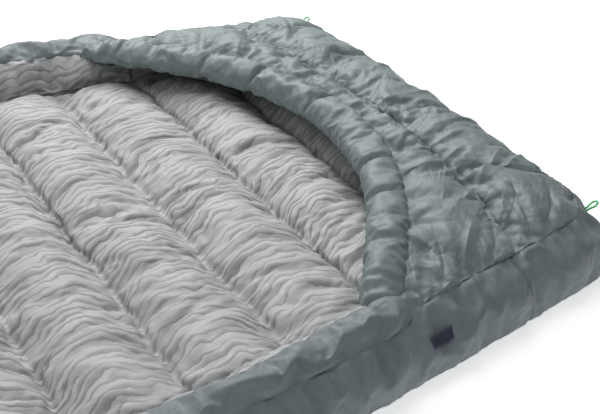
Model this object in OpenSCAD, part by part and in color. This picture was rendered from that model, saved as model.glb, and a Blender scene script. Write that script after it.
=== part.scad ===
// Two-person down camp quilt with an insulated foot pocket, lying open on the
// ground with the lining up.  Millimetres.  The origin is on the ground under
// the middle of the quilt: X runs from the head edge to the foot edge, Y runs
// across it and Z is up.  Every sewn panel, every set of baffle walls and every
// down pad is its own piece.

/* [Outline] */
// Length from the head edge to the foot edge
quilt_l = 1980; // [1940:5:2020]
// Width on the ground across the shoulders
quilt_w = 2000; // [1950:10:2060]
// Width on the ground the taper aims at in line with the foot edge
foot_w = 1600; // [1540:10:1660]
// Distance from the foot edge at which the full width is reached
taper_l = 1500; // [1300:20:1700]
// Radius of the foot corners in plan
foot_r = 90; // [80:2:110]
// Radius of the head corners in plan
head_r = 80; // [60:5:100]
// Place along X where the head panel folds back
fold_x = -370; // [-380:2:-360]

/* [Side walls] */
// Height of the puffed side walls
wall_h = 163; // [150:1:164]
// Height of the wall under the foot pocket seam
foot_wall_h = 100; // [92:1:100]
// How far the wall leans in from the ground to its crest
wall_lean = 80; // [70:1:90]
// Distance from the ground outline to the seam at the foot of the inner wall face
base_inset = 190; // [180:2:210]
// Place along X of the upright seam between side wall and foot wall
panel_x = 670; // [650:5:690]
// Width of the folded hem along the crest
hem_w = 24; // [18:1:28]

/* [Chambers] */
// Distance between the sewn-through rows of the lining
row_pitch = 250; // [245:1:255]
// Height of the lining at a row seam
valley_z = 30; // [26:1:34]
// How far the lining crowns up between two row seams
crown = 32; // [24:1:38]
// Thickness of each fabric sheet as drawn
cloth_t = 1.0; // [0.8:0.1:1.2]
// Thickness of the down pads in the main chambers
down_t = 19; // [14:1:21]
// Thickness of the down pads in the walls
wall_down_t = 20; // [14:1:24]

/* [Foot pocket] */
// Place along X of the collar seam on the middle line
collar_x = 713; // [700:1:725]
// How far the collar curves toward the head at the side walls
arc_depth = 400; // [390:1:405]
// Width of the collar roll on the middle line
collar_w = 88; // [80:1:92]
// Thickness of the collar roll
collar_t = 54; // [46:1:56]
// Height the pocket top domes up over its side seam
dome = 60; // [50:1:62]
// Extra dome height at the collar seam
dome_collar = 22; // [16:1:24]
// Place along X of the row seam in the pocket top
top_row_x = 790; // [780:1:800]
// Diameter of the elastic cord in the collar
elastic_d = 3; // [2:0.5:4]

/* [Loops and tab] */
// Diameter of the corner loop cord
cord_d = 3.2; // [2.5:0.1:3.6]
// Inside half width of a corner loop
loop_r = 9; // [7:0.5:11]
// Straight length of a corner loop
loop_leg = 12; // [8:1:16]
// Length of the blank tab along the wall seam
tab_l = 70; // [55:1:75]
// Drop of the blank tab
tab_h = 27; // [22:1:30]

/* [Hidden] */

half_l = quilt_l/2;
gap = 0.5;
base_z = 3;
slope_v = 1.7;
taper = (quilt_w - foot_w)/2;
tray_end = 880;
tray_r = 40;
collar_end = 303;
top_end = half_l - 6;
top_r = 70;
top_z = foot_wall_h + 7;
axis_z = foot_wall_h + 2;
pocket_seam = 50;

shell_c = [0.52, 0.57, 0.56];
wall_c = [0.42, 0.48, 0.50];
lining_c = [0.76, 0.77, 0.77];
baffle_c = [0.86, 0.87, 0.87];
down_c = [0.95, 0.95, 0.92];
hem_c = [0.47, 0.52, 0.52];
green_c = [0.25, 0.72, 0.32];
navy_c = [0.09, 0.11, 0.17];
black_c = [0.08, 0.08, 0.08];

function unit(t) = min(1, max(0, t));
function smooth(t) = let (s = unit(t)) s*s*(3 - 2*s);
function mix(a, b, t) = a + (b - a)*t;
function cut(d, r) = d < r ? r - sqrt(max(0, r*r - (r - d)*(r - d))) : 0;

// Half width of the straight-tapered outline, d measured from the foot edge.
function half_w(d) = quilt_w/2 - taper*pow(max(0, 1 - d/taper_l), 1.6);
// Half width with the rounded corners taken off.
function out_y(x) = half_w(half_l - x) - cut(half_l - x, foot_r) - cut(half_l + x, head_r);
// Height of the wall crest.
function crest_z(x) =
    mix(wall_h, foot_wall_h, smooth((x - collar_end + 58)/58))
    - (wall_h - 58)*(1 - smooth((x + half_l)/260))*(x < fold_x ? 1 : 0);
// How far the outer wall face has leaned in at a height.
function lean(z) = wall_lean*pow(unit((z - base_z)/(wall_h - base_z)), 2.2);
function lean_s(z) = (lean(z + 1) - lean(max(base_z, z - 1)))/(z + 1 - max(base_z, z - 1));

// Lining height in the tray; v is the place across it from -1 to 1.
function tray_z(x, v) = valley_z
    + crown*pow(abs(sin(180*(x - tray_end)/row_pitch)), 0.75)*(1 - pow(abs(v), 8));
function tray_y(x) = out_y(x) - base_inset - gap - cut(tray_end - x, tray_r);

// ---- closed sheets from an upper and a lower grid of points ----
function flat(g) = [for (r = g) for (p = r) p];
function tri(a, b, c, d, o) = [[a + o, b + o, c + o], [a + o, c + o, d + o]];
function slab_faces(n, m, o) = let (k = n*m) [
    for (i = [0:n - 2]) for (j = [0:m - 2])
        let (a = i*m + j, b = a + 1, d = a + m, c = d + 1)
            each concat(tri(a, b, c, d, o), [[k + c + o, k + b + o, k + a + o], [k + d + o, k + c + o, k + a + o]]),
    for (j = [0:m - 2]) each tri(j + 1, j, k + j, k + j + 1, o),
    for (j = [0:m - 2]) let (q = (n - 1)*m + j) each tri(q, q + 1, k + q + 1, k + q, o),
    for (i = [0:n - 2]) let (q = i*m) each tri(q, q + m, k + q + m, k + q, o),
    for (i = [0:n - 2]) let (q = i*m + m - 1) each tri(q + m, q, k + q, k + q + m, o)];
function slab_pts(s) = concat(flat(s[0]), flat(s[1]));
function before(ls, i) = i == 0 ? 0 : before(ls, i - 1) + len(slab_pts(ls[i - 1]));
module slabs(ls) {
    polyhedron([for (s = ls) each slab_pts(s)],
        [for (i = [0:len(ls) - 1]) each slab_faces(len(ls[i][0]), len(ls[i][0][0]), before(ls, i))]);
}

// ---- tubes along a path; rings are lists of points ----
function ring_side(n, m, o, flip) = [for (i = [0:n - 2]) for (j = [0:m - 1])
    let (a = o + i*m + j, b = o + i*m + (j + 1)%m, c = b + m, d = a + m)
        each (flip ? [[a, c, b], [a, d, c]] : [[a, b, c], [a, c, d]])];
function ring_cap(m, o, flip) = [for (j = [1:m - 2]) flip ? [o, o + j + 1, o + j] : [o, o + j, o + j + 1]];
module rod(rings) {
    n = len(rings);
    m = len(rings[0]);
    polyhedron(flat(rings), concat(ring_side(n, m, 0, true),
        ring_cap(m, 0, false), ring_cap(m, (n - 1)*m, true)));
}
module pipe(outer, inner) {
    n = len(outer);
    m = len(outer[0]);
    k = n*m;
    polyhedron(concat(flat(outer), flat(inner)), concat(
        ring_side(n, m, 0, true), ring_side(n, m, k, false),
        [for (j = [0:m - 1]) let (a = j, b = (j + 1)%m) each [[a, b, k + b], [a, k + b, k + a]]],
        [for (j = [0:m - 1]) let (a = k - m + j, b = k - m + (j + 1)%m) each [[a, k + b, b], [a, k + a, k + b]]]));
}

// ---- ground sheet ----
function main_xs() = concat(
    [for (i = [0:22]) mix(fold_x + gap, half_l - foot_r, i/22)],
    [for (a = [15:15:90]) half_l - foot_r + foot_r*sin(a)]);
function head_xs() = concat(
    [for (a = [90:-15:15]) -half_l + head_r - head_r*sin(a)],
    [for (i = [0:9]) mix(-half_l + head_r, fold_x - gap, i/9)]);
module ground(xs) {
    linear_extrude(cloth_t)
        polygon(concat([for (x = xs) [x, -out_y(x)]],
            [for (i = [len(xs) - 1:-1:0]) [xs[i], out_y(xs[i])]]));
}
module base_shell() color(shell_c) ground(main_xs());
module head_base_shell() color(shell_c) ground(head_xs());

// ---- tray lining, baffles and down ----
across = [for (j = [-6:6]) sin(90*j/6)*0.35 + j/6*0.65];
function rows_x(a, b, n) = [for (i = [0:n]) mix(a, b, i/n)];
function tray_sheet(xs, dz, t) = [
    [for (x = xs) [for (v = across) [x, v*tray_y(x), tray_z(x, v) - dz]]],
    [for (x = xs) [for (v = across) [x, v*tray_y(x), tray_z(x, v) - dz - t]]]];
function tray_main_xs() = concat(rows_x(fold_x + gap, tray_end - tray_r, 28),
    [for (a = [30:30:90]) tray_end - tray_r + tray_r*sin(a) - (a == 90 ? gap : 0)]);
module main_lining() color(lining_c) slabs([tray_sheet(tray_main_xs(), 0, cloth_t)]);

// A down pad under the lining of one chamber, thickest in the middle.
function pad(a, b, zf) = let (n = 8) [
    [for (i = [0:n]) let (x = mix(a + 6, b - 6, i/n)) [for (v = across) [x, 0.985*v*tray_y(x), zf + tray_z(x, v) - 2.2*cloth_t - 2.2]]],
    [for (i = [0:n]) let (x = mix(a + 6, b - 6, i/n)) [for (v = across) [x, 0.985*v*tray_y(x),
        zf + tray_z(x, v) - 2.2*cloth_t - 2.2 - 3 - (down_t - 3)*pow(sin(180*i/n), 0.8)*(1 - pow(abs(v), 6))]]]];
module main_down() color(down_c)
    slabs([for (k = [0:4]) pad(max(fold_x + 2, tray_end - (k + 1)*row_pitch), min(tray_end - k*row_pitch, tray_end - 8), 0)]);

// Upright fabric walls that tie the shell to the lining under each row seam.
function strip(x) = [
    [for (v = across) [for (z = [cloth_t + gap, valley_z - cloth_t - gap]) [x + cloth_t/2, v*(tray_y(x) - 2), z]]],
    [for (v = across) [for (z = [cloth_t + gap, valley_z - cloth_t - gap]) [x - cloth_t/2, v*(tray_y(x) - 2), z]]]];
module main_baffles() color(baffle_c) slabs([for (k = [1:4]) strip(tray_end - k*row_pitch), strip(fold_x + 2)]);

// The head end of the tray falls away to the hem.
function head_fall(x) = (1 - smooth((x + half_l - 12)/100));
function head_z(x, v) = mix(tray_z(x, v), 6, head_fall(x));
head_lining_xs = concat(rows_x(-half_l + 12, -half_l + 110, 6), rows_x(-half_l + 124, fold_x - gap, 14));
module head_lining() color(lining_c) slabs([[
    [for (x = head_lining_xs) [for (v = across) [x, v*tray_y(x), head_z(x, v)]]],
    [for (x = head_lining_xs) [for (v = across) [x, v*tray_y(x), head_z(x, v) - cloth_t]]]]]);
module head_down() color(down_c) slabs([
    pad(tray_end - 6*row_pitch, fold_x - 2, 0), pad(tray_end - 7*row_pitch, tray_end - 6*row_pitch, 0)]);
module head_baffles() color(baffle_c) slabs([for (k = [6:7]) strip(tray_end - k*row_pitch)]);
module head_end_hem() color(hem_c)
    translate([-half_l + 6.5, 0, 6]) rotate([90, 0, 0])
        cylinder(h = quilt_w - 200, r = 4.5, center = true, $fn = 20);

// ---- side walls, drawn on the far side and mirrored for the near side ----
function wall_pt(x, t, o) = let (z = mix(base_z, crest_z(x), t), s = lean_s(z), l = sqrt(1 + s*s))
    [x, out_y(x) - lean(z) - o/l, z - o*s/l];
wall_ts = [1, 0.88, 0.72, 0.54, 0.36, 0.18, 0];
function wall_sheet(xs) = [
    [for (x = xs) [for (t = wall_ts) wall_pt(x, t, 0)]],
    [for (x = xs) [for (t = wall_ts) wall_pt(x, t, cloth_t)]]];
wall_xs = concat(rows_x(fold_x + gap, collar_end - 70, 12), rows_x(collar_end - 55, collar_end + 5, 5), rows_x(collar_end + 40, panel_x - gap, 7));
head_wall_xs = concat([for (a = [75:-25:25]) -half_l + head_r - head_r*sin(a)],
    rows_x(-half_l + head_r, fold_x - gap, 10));
// Inner wall face, from the tray seam (s = 1) up to the crest (s = 0).
function face_pt(x, s, o) = let (c = crest_z(x) - 1.8, y = out_y(x) - lean(c) - 2 - (base_inset - lean(c) - 2)*s)
    [x, y, mix(c, min(valley_z, c - 4), smooth(s)) - o];
face_ss = [1, 0.85, 0.7, 0.55, 0.4, 0.25, 0.12, 0];
function face_sheet(xs) = [
    [for (x = xs) [for (s = face_ss) face_pt(x, s, 0)]],
    [for (x = xs) [for (s = face_ss) face_pt(x, s, slope_v)]]];
// Down pad that lines the outer wall.
function wall_pad(xs) = [
    [for (x = xs) [for (t = [0.92, 0.8, 0.64, 0.48, 0.32, 0.18, 0.07]) wall_pt(x, t, cloth_t + 1.2)]],
    [for (x = xs) [for (t = [0.92, 0.8, 0.64, 0.48, 0.32, 0.18, 0.07]) wall_pt(x, t, cloth_t + 1.2 + 4 + (wall_down_t - 4)*sin(180*t))]]];
// Folded hem that caps the crest.
function hem_pt(x, q, o) = let (c = crest_z(x), w = q*hem_w) [x, out_y(x) - lean(c) - hem_w*0.55 + w + 2, c + 0.6 + o];
function hem_sheet(xs) = [
    [for (x = xs) [for (q = [0, 0.5, 1]) hem_pt(x, q, cloth_t + 0.4 - 0.5*abs(2*q - 1))]],
    [for (x = xs) [for (q = [0, 0.5, 1]) hem_pt(x, q, 0)]]];
hem_xs = [for (x = wall_xs) if (x < collar_end - 56) x];

module far_wall_shell() color(wall_c) slabs([wall_sheet(wall_xs)]);
module near_wall_shell() mirror([0, 1, 0]) far_wall_shell();
module far_wall_lining() color(lining_c) slabs([face_sheet(wall_xs)]);
module near_wall_lining() mirror([0, 1, 0]) far_wall_lining();
module far_wall_down() color(down_c) slabs([wall_pad(wall_xs)]);
module near_wall_down() mirror([0, 1, 0]) far_wall_down();
module far_wall_hem() color(hem_c) slabs([hem_sheet(hem_xs)]);
module near_wall_hem() mirror([0, 1, 0]) far_wall_hem();
module head_far_wall_shell() color(wall_c) slabs([wall_sheet(head_wall_xs)]);
module head_near_wall_shell() mirror([0, 1, 0]) head_far_wall_shell();
module head_far_wall_lining() color(lining_c) slabs([face_sheet(head_wall_xs)]);
module head_near_wall_lining() mirror([0, 1, 0]) head_far_wall_lining();
module head_far_wall_down() color(down_c) slabs([wall_pad(head_wall_xs)]);
module head_near_wall_down() mirror([0, 1, 0]) head_far_wall_down();
module head_far_wall_hem() color(hem_c) slabs([hem_sheet(head_wall_xs)]);
module head_near_wall_hem() mirror([0, 1, 0]) head_far_wall_hem();

// ---- foot wall: runs down one side, round the foot and up the other side ----
corner_x = half_l - foot_r;
corner_y = half_w(foot_r) - foot_r;
in_x = tray_end - tray_r;
in_y = half_w(half_l - in_x) - base_inset - tray_r;
// Each station: ground point, outward normal, how much of the lean applies, foot of the inner face.
function side_st(x) = let (k = unit((x - panel_x - gap)/(corner_x - panel_x)),
    s = k*(half_w(half_l - x + 5) - half_w(half_l - x - 5))/10, l = sqrt(1 + s*s))
    [[x, half_w(half_l - x)], [s/l, 1/l], 1,
        [mix(panel_x + gap, in_x, k), half_w(half_l - mix(panel_x, in_x, k)) - base_inset]];
function corner_st(a) = [[corner_x + foot_r*cos(a), corner_y + foot_r*sin(a)], [cos(a), sin(a)], mix(0.15, 1, sin(a)),
    [in_x + tray_r*cos(a), in_y + tray_r*sin(a)]];
function end_st(k) = [[half_l, corner_y*k], [1, 0], 0.15, [in_x + tray_r, in_y*k]];
function flip_st(s) = [[s[0][0], -s[0][1]], [s[1][0], -s[1][1]], s[2], [s[3][0], -s[3][1]]];
half_sts = concat([for (i = [0:5]) side_st(mix(panel_x + gap, corner_x - 2, i/5))],
    [for (a = [78, 62, 45, 28, 12]) corner_st(a)], [for (k = [1, 0.75, 0.5, 0.25]) end_st(k)]);
foot_sts = concat(half_sts, [end_st(0)], [for (i = [len(half_sts) - 1:-1:0]) flip_st(half_sts[i])]);
function foot_pt(s, z, o) = let (q = lean(z)*s[2], g = lean_s(z)*s[2], l = sqrt(1 + g*g))
    [s[0][0] - s[1][0]*(q + o/l), s[0][1] - s[1][1]*(q + o/l), z - o*g/l];
function foot_zs() = [for (t = [1, 0.8, 0.6, 0.4, 0.2, 0]) mix(base_z, foot_wall_h, t)];
module foot_wall_shell() color(wall_c) slabs([[
    [for (s = foot_sts) [for (z = foot_zs()) foot_pt(s, z, 0)]],
    [for (s = foot_sts) [for (z = foot_zs()) foot_pt(s, z, cloth_t)]]]]);
module foot_wall_down() color(down_c) slabs([[
    [for (s = foot_sts) [for (t = [0.92, 0.75, 0.5, 0.25, 0.07]) foot_pt(s, mix(base_z, foot_wall_h, t), cloth_t + 1.2)]],
    [for (s = foot_sts) [for (t = [0.92, 0.75, 0.5, 0.25, 0.07]) foot_pt(s, mix(base_z, foot_wall_h, t), cloth_t + 5 + (wall_down_t - 5)*sin(180*t))]]]]);
// Inner face of the foot wall, from the tray (s = 1) up to the pocket seam (s = 0).
function foot_face(st, s, o) = let (c = foot_pt(st, foot_wall_h - 1.8, 2), b = st[3])
    [mix(c[0], b[0], s), mix(c[1], b[1], s), mix(foot_wall_h - 1.8, valley_z, smooth(s)) - o];
module foot_wall_lining() color(lining_c) slabs([[
    [for (st = foot_sts) [for (s = [1, 0.8, 0.6, 0.4, 0.2, 0]) foot_face(st, s, 0)]],
    [for (st = foot_sts) [for (s = [1, 0.8, 0.6, 0.4, 0.2, 0]) foot_face(st, s, slope_v)]]]]);

// ---- pocket top: u runs from the collar seam to the foot edge, v across ----
function seam_x(v) = collar_x - arc_depth*pow(abs(v), 2.2);
function top_y(x) = half_w(half_l - x) - pocket_seam - cut(top_end - x, top_r);
function top_dome(x, v, u) = (dome + dome_collar*(1 - u))
    *pow(1 - pow(unit((x - top_end + 70)/70), 2), 0.7)*pow(1 - pow(abs(v), 5), 0.6);
us = [0, 0.12, 0.25, 0.4, 0.55, 0.7, 0.82, 0.9, 0.95, 0.98, 1];
vs = [for (j = [-9:9]) sin(90*j/9)*0.6 + j/9*0.4];
function top_pt(u, v, k, z0) = let (x = mix(seam_x(v), top_end, u)) [x, v*top_y(x), z0 + k*top_dome(x, v, u)];
module pocket_shell() color(shell_c) slabs([[
    [for (u = us) [for (v = vs) top_pt(u, v, 1, top_z)]],
    [for (u = us) [for (v = vs) top_pt(u, v, 1, top_z - slope_v)]]]]);
module pocket_lining() color(lining_c) slabs([[
    [for (u = us) [for (v = vs) top_pt(u, v, 0.5, top_z - 2.2)]],
    [for (u = us) [for (v = vs) top_pt(u, v, 0.5, top_z - 2.2 - cloth_t - 0.4)]]]]);
function row_x(v) = top_row_x - 40*pow(abs(v)/0.6, 2)*0.9;
function row_u(v) = (row_x(v) - seam_x(v))/(top_end - seam_x(v));
pv = [for (j = [-7:7]) 0.93*(sin(90*j/7)*0.6 + j/7*0.4)];
module pocket_baffle() color(baffle_c) slabs([[
    [for (v = pv) let (p = top_pt(row_u(v), v, 1, top_z), q = top_pt(row_u(v), v, 0.5, top_z - 2.2)) [[p[0] + 0.5, p[1], q[2] + 0.8], [p[0] + 0.5, p[1], max(q[2] + 2, p[2] - slope_v - 1.5)]]],
    [for (v = pv) let (p = top_pt(row_u(v), v, 1, top_z), q = top_pt(row_u(v), v, 0.5, top_z - 2.2)) [[p[0] - 0.5, p[1], q[2] + 0.8], [p[0] - 0.5, p[1], max(q[2] + 2, p[2] - slope_v - 1.5)]]]]]);
pd = [for (j = [-6:6]) 0.9*(sin(90*j/6)*0.6 + j/6*0.4)];
function pocket_pad(a, b, n) = [
    [for (i = [0:n]) [for (v = pd) let (u = mix(a == 0 ? 0.03 : row_u(v) + 0.02, b == 1 ? 0.93 : row_u(v) - 0.02, i/n)) top_pt(u, v, 0.9, top_z - slope_v - 0.8)]],
    [for (i = [0:n]) [for (v = pd) let (u = mix(a == 0 ? 0.03 : row_u(v) + 0.02, b == 1 ? 0.93 : row_u(v) - 0.02, i/n)) top_pt(u, v, 0.58, top_z - 1.2)]]];
module pocket_down() color(down_c) slabs([pocket_pad(0, 0, 5), pocket_pad(1, 1, 7)]);
// Narrow facing under the collar seam where shell and lining are closed together.
module pocket_edge() color(lining_c) slabs([[
    [for (v = pv) let (p = top_pt(0, v, 1, top_z), q = top_pt(0, v, 0.5, top_z - 2.2)) [[p[0] - 0.6, p[1], q[2] + 0.2], [p[0] - 0.6, p[1], p[2] - 3]]],
    [for (v = pv) let (p = top_pt(0, v, 1, top_z), q = top_pt(0, v, 0.5, top_z - 2.2)) [[p[0] - 1.6, p[1], q[2] + 0.2], [p[0] - 1.6, p[1], p[2] - 3]]]]]);

// ---- collar roll along the opening ----
cv = [for (j = [-20:20]) 0.94*(sin(90*j/20)*0.4 + j/20*0.6)];
function seam_p(v) = [seam_x(v), v*top_y(seam_x(v))];
function col_dir(v) = let (a = seam_p(v - 0.004), b = seam_p(v + 0.004), l = norm(b - a)) (b - a)/l;
function col_c(v) = let (p = seam_p(v), d = col_dir(v)) [p[0] - d[1]*(collar_w/2 + 2), p[1] + d[0]*(collar_w/2 + 2), 161 - 14*pow(abs(v), 3)];
function col_thin(v) = 0.5 + 0.5*smooth((0.97 - abs(v))/0.14);
tilt = 24;
function col_ring(v, o, shift) = let (c = col_c(v), d = col_dir(v), k = col_thin(v),
    a = (collar_w/2 - 0.5)*k - o, b = collar_t/2*k - o, nx = d[1], ny = -d[0])
    [for (j = [0:17]) let (w = 20*j, p = a*cos(w)*cos(tilt) - b*sin(w)*sin(tilt) + shift, q = a*cos(w)*sin(tilt) + b*sin(w)*cos(tilt))
        [c[0] + nx*p, c[1] + ny*p, c[2] + q]];
module collar_shell() color(shell_c) pipe([for (v = cv) col_ring(v, 0, 0)], [for (v = cv) col_ring(v, cloth_t, 0)]);
module collar_down() color(down_c) rod([for (v = cv) if (abs(v) < 0.93) col_ring(v, 5.4, 3.2)]);
function elastic_ring(v) = let (c = col_c(v), d = col_dir(v), k = col_thin(v),
    a = (collar_w/2 - 0.5)*k - cloth_t - 0.4 - elastic_d/2, nx = d[1], ny = -d[0], p0 = -a*cos(tilt), q0 = -a*sin(tilt))
    [for (j = [0:7]) let (p = p0 + elastic_d/2*cos(45*j)*0.9, q = q0 + elastic_d/2*sin(45*j)*0.9) [c[0] + nx*p, c[1] + ny*p, c[2] + q]];
module collar_elastic() color(black_c) rod([for (v = cv) if (abs(v) < 0.93) elastic_ring(v)]);

// ---- corner loops: a cord bent double, its ends at the seam ----
loop_x = half_l - 2;
loop_y = corner_y - 39;
loop_z = foot_wall_h + 20;
module loop(side) color(green_c)
    translate([loop_x, side*loop_y, loop_z]) rotate([0, -35, side*20]) {
        for (s = [-1, 1]) translate([2, s*loop_r, 0]) rotate([0, 90, 0]) cylinder(h = loop_leg, d = cord_d, $fn = 16);
        translate([loop_leg + 2, 0, 0]) rotate([0, 0, -90]) rotate_extrude(angle = 180, $fn = 32) translate([loop_r, 0]) circle(d = cord_d, $fn = 16);
    }
module near_foot_loop() loop(-1);
module far_foot_loop() loop(1);

// ---- blank folded tab caught in the near wall seam ----
tab_x = 396;
tab_turn = 9;
module label_tab() color(navy_c)
    translate([tab_x, -(half_w(half_l - tab_x) - lean(foot_wall_h - 2) + 3.4), foot_wall_h - 1]) rotate([0, 0, tab_turn]) rotate([64, 0, 0])
        translate([-tab_l/2, 0.4 - tab_h, -0.6]) {
            difference() {
                cube([tab_l, tab_h, 1.2]);
                translate([-1, 1.2, 0.4]) cube([tab_l + 2, tab_h - 2.6, 0.4]);
            }
        }

base_shell();
main_lining();
main_baffles();
main_down();
near_wall_shell();
far_wall_shell();
near_wall_lining();
far_wall_lining();
near_wall_down();
far_wall_down();
near_wall_hem();
far_wall_hem();
foot_wall_shell();
foot_wall_lining();
foot_wall_down();
pocket_shell();
pocket_lining();
pocket_down();
pocket_baffle();
pocket_edge();
collar_shell();
collar_down();
collar_elastic();
head_base_shell();
head_lining();
head_baffles();
head_down();
head_near_wall_shell();
head_far_wall_shell();
head_near_wall_lining();
head_far_wall_lining();
head_near_wall_down();
head_far_wall_down();
head_near_wall_hem();
head_far_wall_hem();
head_end_hem();
near_foot_loop();
far_foot_loop();
label_tab();
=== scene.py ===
import math, time
import bpy, bmesh
import numpy as np
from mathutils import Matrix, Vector


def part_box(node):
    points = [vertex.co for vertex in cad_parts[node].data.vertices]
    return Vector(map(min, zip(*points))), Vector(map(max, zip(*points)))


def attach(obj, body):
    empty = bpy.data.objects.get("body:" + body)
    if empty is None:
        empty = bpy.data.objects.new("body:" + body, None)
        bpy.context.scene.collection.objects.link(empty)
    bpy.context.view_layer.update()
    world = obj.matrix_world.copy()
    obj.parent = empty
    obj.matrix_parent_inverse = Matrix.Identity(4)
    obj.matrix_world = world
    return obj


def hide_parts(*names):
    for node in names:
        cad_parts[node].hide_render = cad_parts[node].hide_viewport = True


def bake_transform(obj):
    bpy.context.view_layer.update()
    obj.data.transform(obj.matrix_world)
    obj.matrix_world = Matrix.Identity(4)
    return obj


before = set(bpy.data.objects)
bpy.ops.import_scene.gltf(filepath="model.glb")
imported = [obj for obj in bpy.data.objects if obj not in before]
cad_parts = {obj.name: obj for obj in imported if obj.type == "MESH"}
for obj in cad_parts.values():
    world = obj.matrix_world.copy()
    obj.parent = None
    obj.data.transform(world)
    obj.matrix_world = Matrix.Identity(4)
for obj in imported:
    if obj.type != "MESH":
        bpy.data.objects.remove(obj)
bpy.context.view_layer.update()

S = bpy.context.scene

# ------------------------------------------------------------------ noise
def _lat(seed, n=256):
    r = np.random.RandomState(seed)
    a = r.uniform(0, 2 * np.pi, (n, n))
    return np.cos(a), np.sin(a)

_LAT = {}
def perlin(x, y, seed=0):
    """Gradient noise, about -1..1, vectorised."""
    if seed not in _LAT:
        _LAT[seed] = _lat(seed)
    gx, gy = _LAT[seed]
    x = np.asarray(x, float); y = np.asarray(y, float)
    xi = np.floor(x).astype(int); yi = np.floor(y).astype(int)
    xf = x - xi; yf = y - yi
    u = xf * xf * xf * (xf * (xf * 6 - 15) + 10)
    v = yf * yf * yf * (yf * (yf * 6 - 15) + 10)
    def g(ix, iy, dx, dy):
        a = ix & 255; b = iy & 255
        return gx[a, b] * dx + gy[a, b] * dy
    n00 = g(xi, yi, xf, yf); n10 = g(xi + 1, yi, xf - 1, yf)
    n01 = g(xi, yi + 1, xf, yf - 1); n11 = g(xi + 1, yi + 1, xf - 1, yf - 1)
    return 1.5 * ((n00 * (1 - u) + n10 * u) * (1 - v) + (n01 * (1 - u) + n11 * u) * v)

def fbm(x, y, seed=0, octs=4, gain=0.5):
    r = 0; a = 1; t = 0
    for k in range(octs):
        r = r + a * perlin(x * 2 ** k, y * 2 ** k, seed + k * 7)
        t += a; a *= gain
    return r / t

def ridge(x, y, seed=0, octs=3, gain=0.5):
    """Sharp crests, 0..1."""
    r = 0; a = 1; t = 0
    for k in range(octs):
        r = r + a * (1 - np.abs(perlin(x * 2 ** k, y * 2 ** k, seed + k * 5)) * 1.6)
        t += a; a *= gain
    return r / t

def crumple(x, y, seed=0, scale=0.05):
    """Facets with sharp folds between them: largest of several tilted planes in warped cells."""
    wx = x / scale + 0.55 * perlin(x / scale * 0.7, y / scale * 0.7, seed + 1)
    wy = y / scale + 0.55 * perlin(x / scale * 0.7, y / scale * 0.7, seed + 2)
    xi = np.floor(wx).astype(int); yi = np.floor(wy).astype(int)
    r = np.random.RandomState(seed + 11)
    T = r.uniform(0, 1, (64, 64, 5))
    best = np.full(np.shape(wx), 9.0); val = np.zeros(np.shape(wx))
    for dx in (-1, 0, 1):
        for dy in (-1, 0, 1):
            cx = (xi + dx) & 63; cy = (yi + dy) & 63
            px = xi + dx + T[cx, cy, 0]; py = yi + dy + T[cx, cy, 1]
            d = (wx - px) ** 2 + (wy - py) ** 2
            h = T[cx, cy, 2] - 0.5 + (wx - px) * (T[cx, cy, 3] - 0.5) * 1.6 + (wy - py) * (T[cx, cy, 4] - 0.5) * 1.6
            m = d < best
            best = np.where(m, d, best); val = np.where(m, h, val)
    return val

def smooth(t):
    t = np.clip(t, 0, 1)
    return t * t * (3 - 2 * t)

def mix(a, b, t):
    return a + (b - a) * t

# ------------------------------------------------------------------ outline of the quilt
HL = 0.990
PITCH = 0.250
TRAY_END = 0.880
ROWS = [TRAY_END - PITCH * k for k in range(0, 8)]
Z_SEAM = 0.108
Z_CREST = 0.161
ARC = 0.40
COLLAR_X = 0.713

def half_w(d):
    return 1.0 - 0.2 * np.maximum(0, 1 - d / 1.5) ** 1.6

def cut(d, r):
    d = np.asarray(d, float)
    return np.where(d < r, r - np.sqrt(np.maximum(0, r * r - (r - d) ** 2)), 0)

def out_y(x):
    x = np.asarray(x, float)
    return half_w(HL - x) - cut(HL - x, 0.09) - cut(HL + x, 0.08)

def crest_z(x):
    x = np.asarray(x, float)
    z = mix(Z_CREST, Z_SEAM + 0.004, smooth((x - 0.33) / 0.10))
    return z - (Z_CREST - 0.055) * (1 - smooth((x + HL) / 0.26)) * (x < 0)

def lean(z):
    return 0.080 * np.clip((z - 0.003) / 0.160, 0, 1.2) ** 2.2

PZ = 0.127
def head_f(x):
    x = np.asarray(x, float)
    return (1 - smooth((x + HL) / 0.26)) * (x < 0)

def seam_z(x):
    """Height of the long seam that runs right round the top of the wall panels."""
    return mix(0.130 + 0 * np.asarray(x, float), 0.040, head_f(x)) * 1.0 + (PZ - 0.130) * smooth((np.asarray(x, float) - 0.34) / 0.1)

def seam_in(x):
    return mix(0.042, 0.085, smooth((np.asarray(x, float) - 0.26) / 0.16))

def inner_in(x):
    """Inset of the border between the rolled crest and the lining."""
    x = np.asarray(x, float)
    return mix(mix(0.132, 0.152, smooth((x + 0.1) / 0.4)), 0.095, smooth((x - 0.36) / 0.12)) - 0.03 * head_f(x)

def inner_z(x):
    x = np.asarray(x, float)
    return mix(mix(0.138, 0.104, smooth((x - 0.36) / 0.12)), 0.034, head_f(x))

def puffs(u, v, seed, su, sv, warp=0.3, p=0.7):
    """Pillows of cloth with sharp creases between them; p below 1 sharpens the crease."""
    k = max(su, sv)
    a = perlin(u / (k * 1.7), v / (k * 1.7), seed + 31); b = perlin(u / (k * 1.7) + 9, v / (k * 1.7), seed + 32)
    return np.abs(perlin(u / su + warp * a, v / sv + warp * b, seed)) ** p

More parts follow.
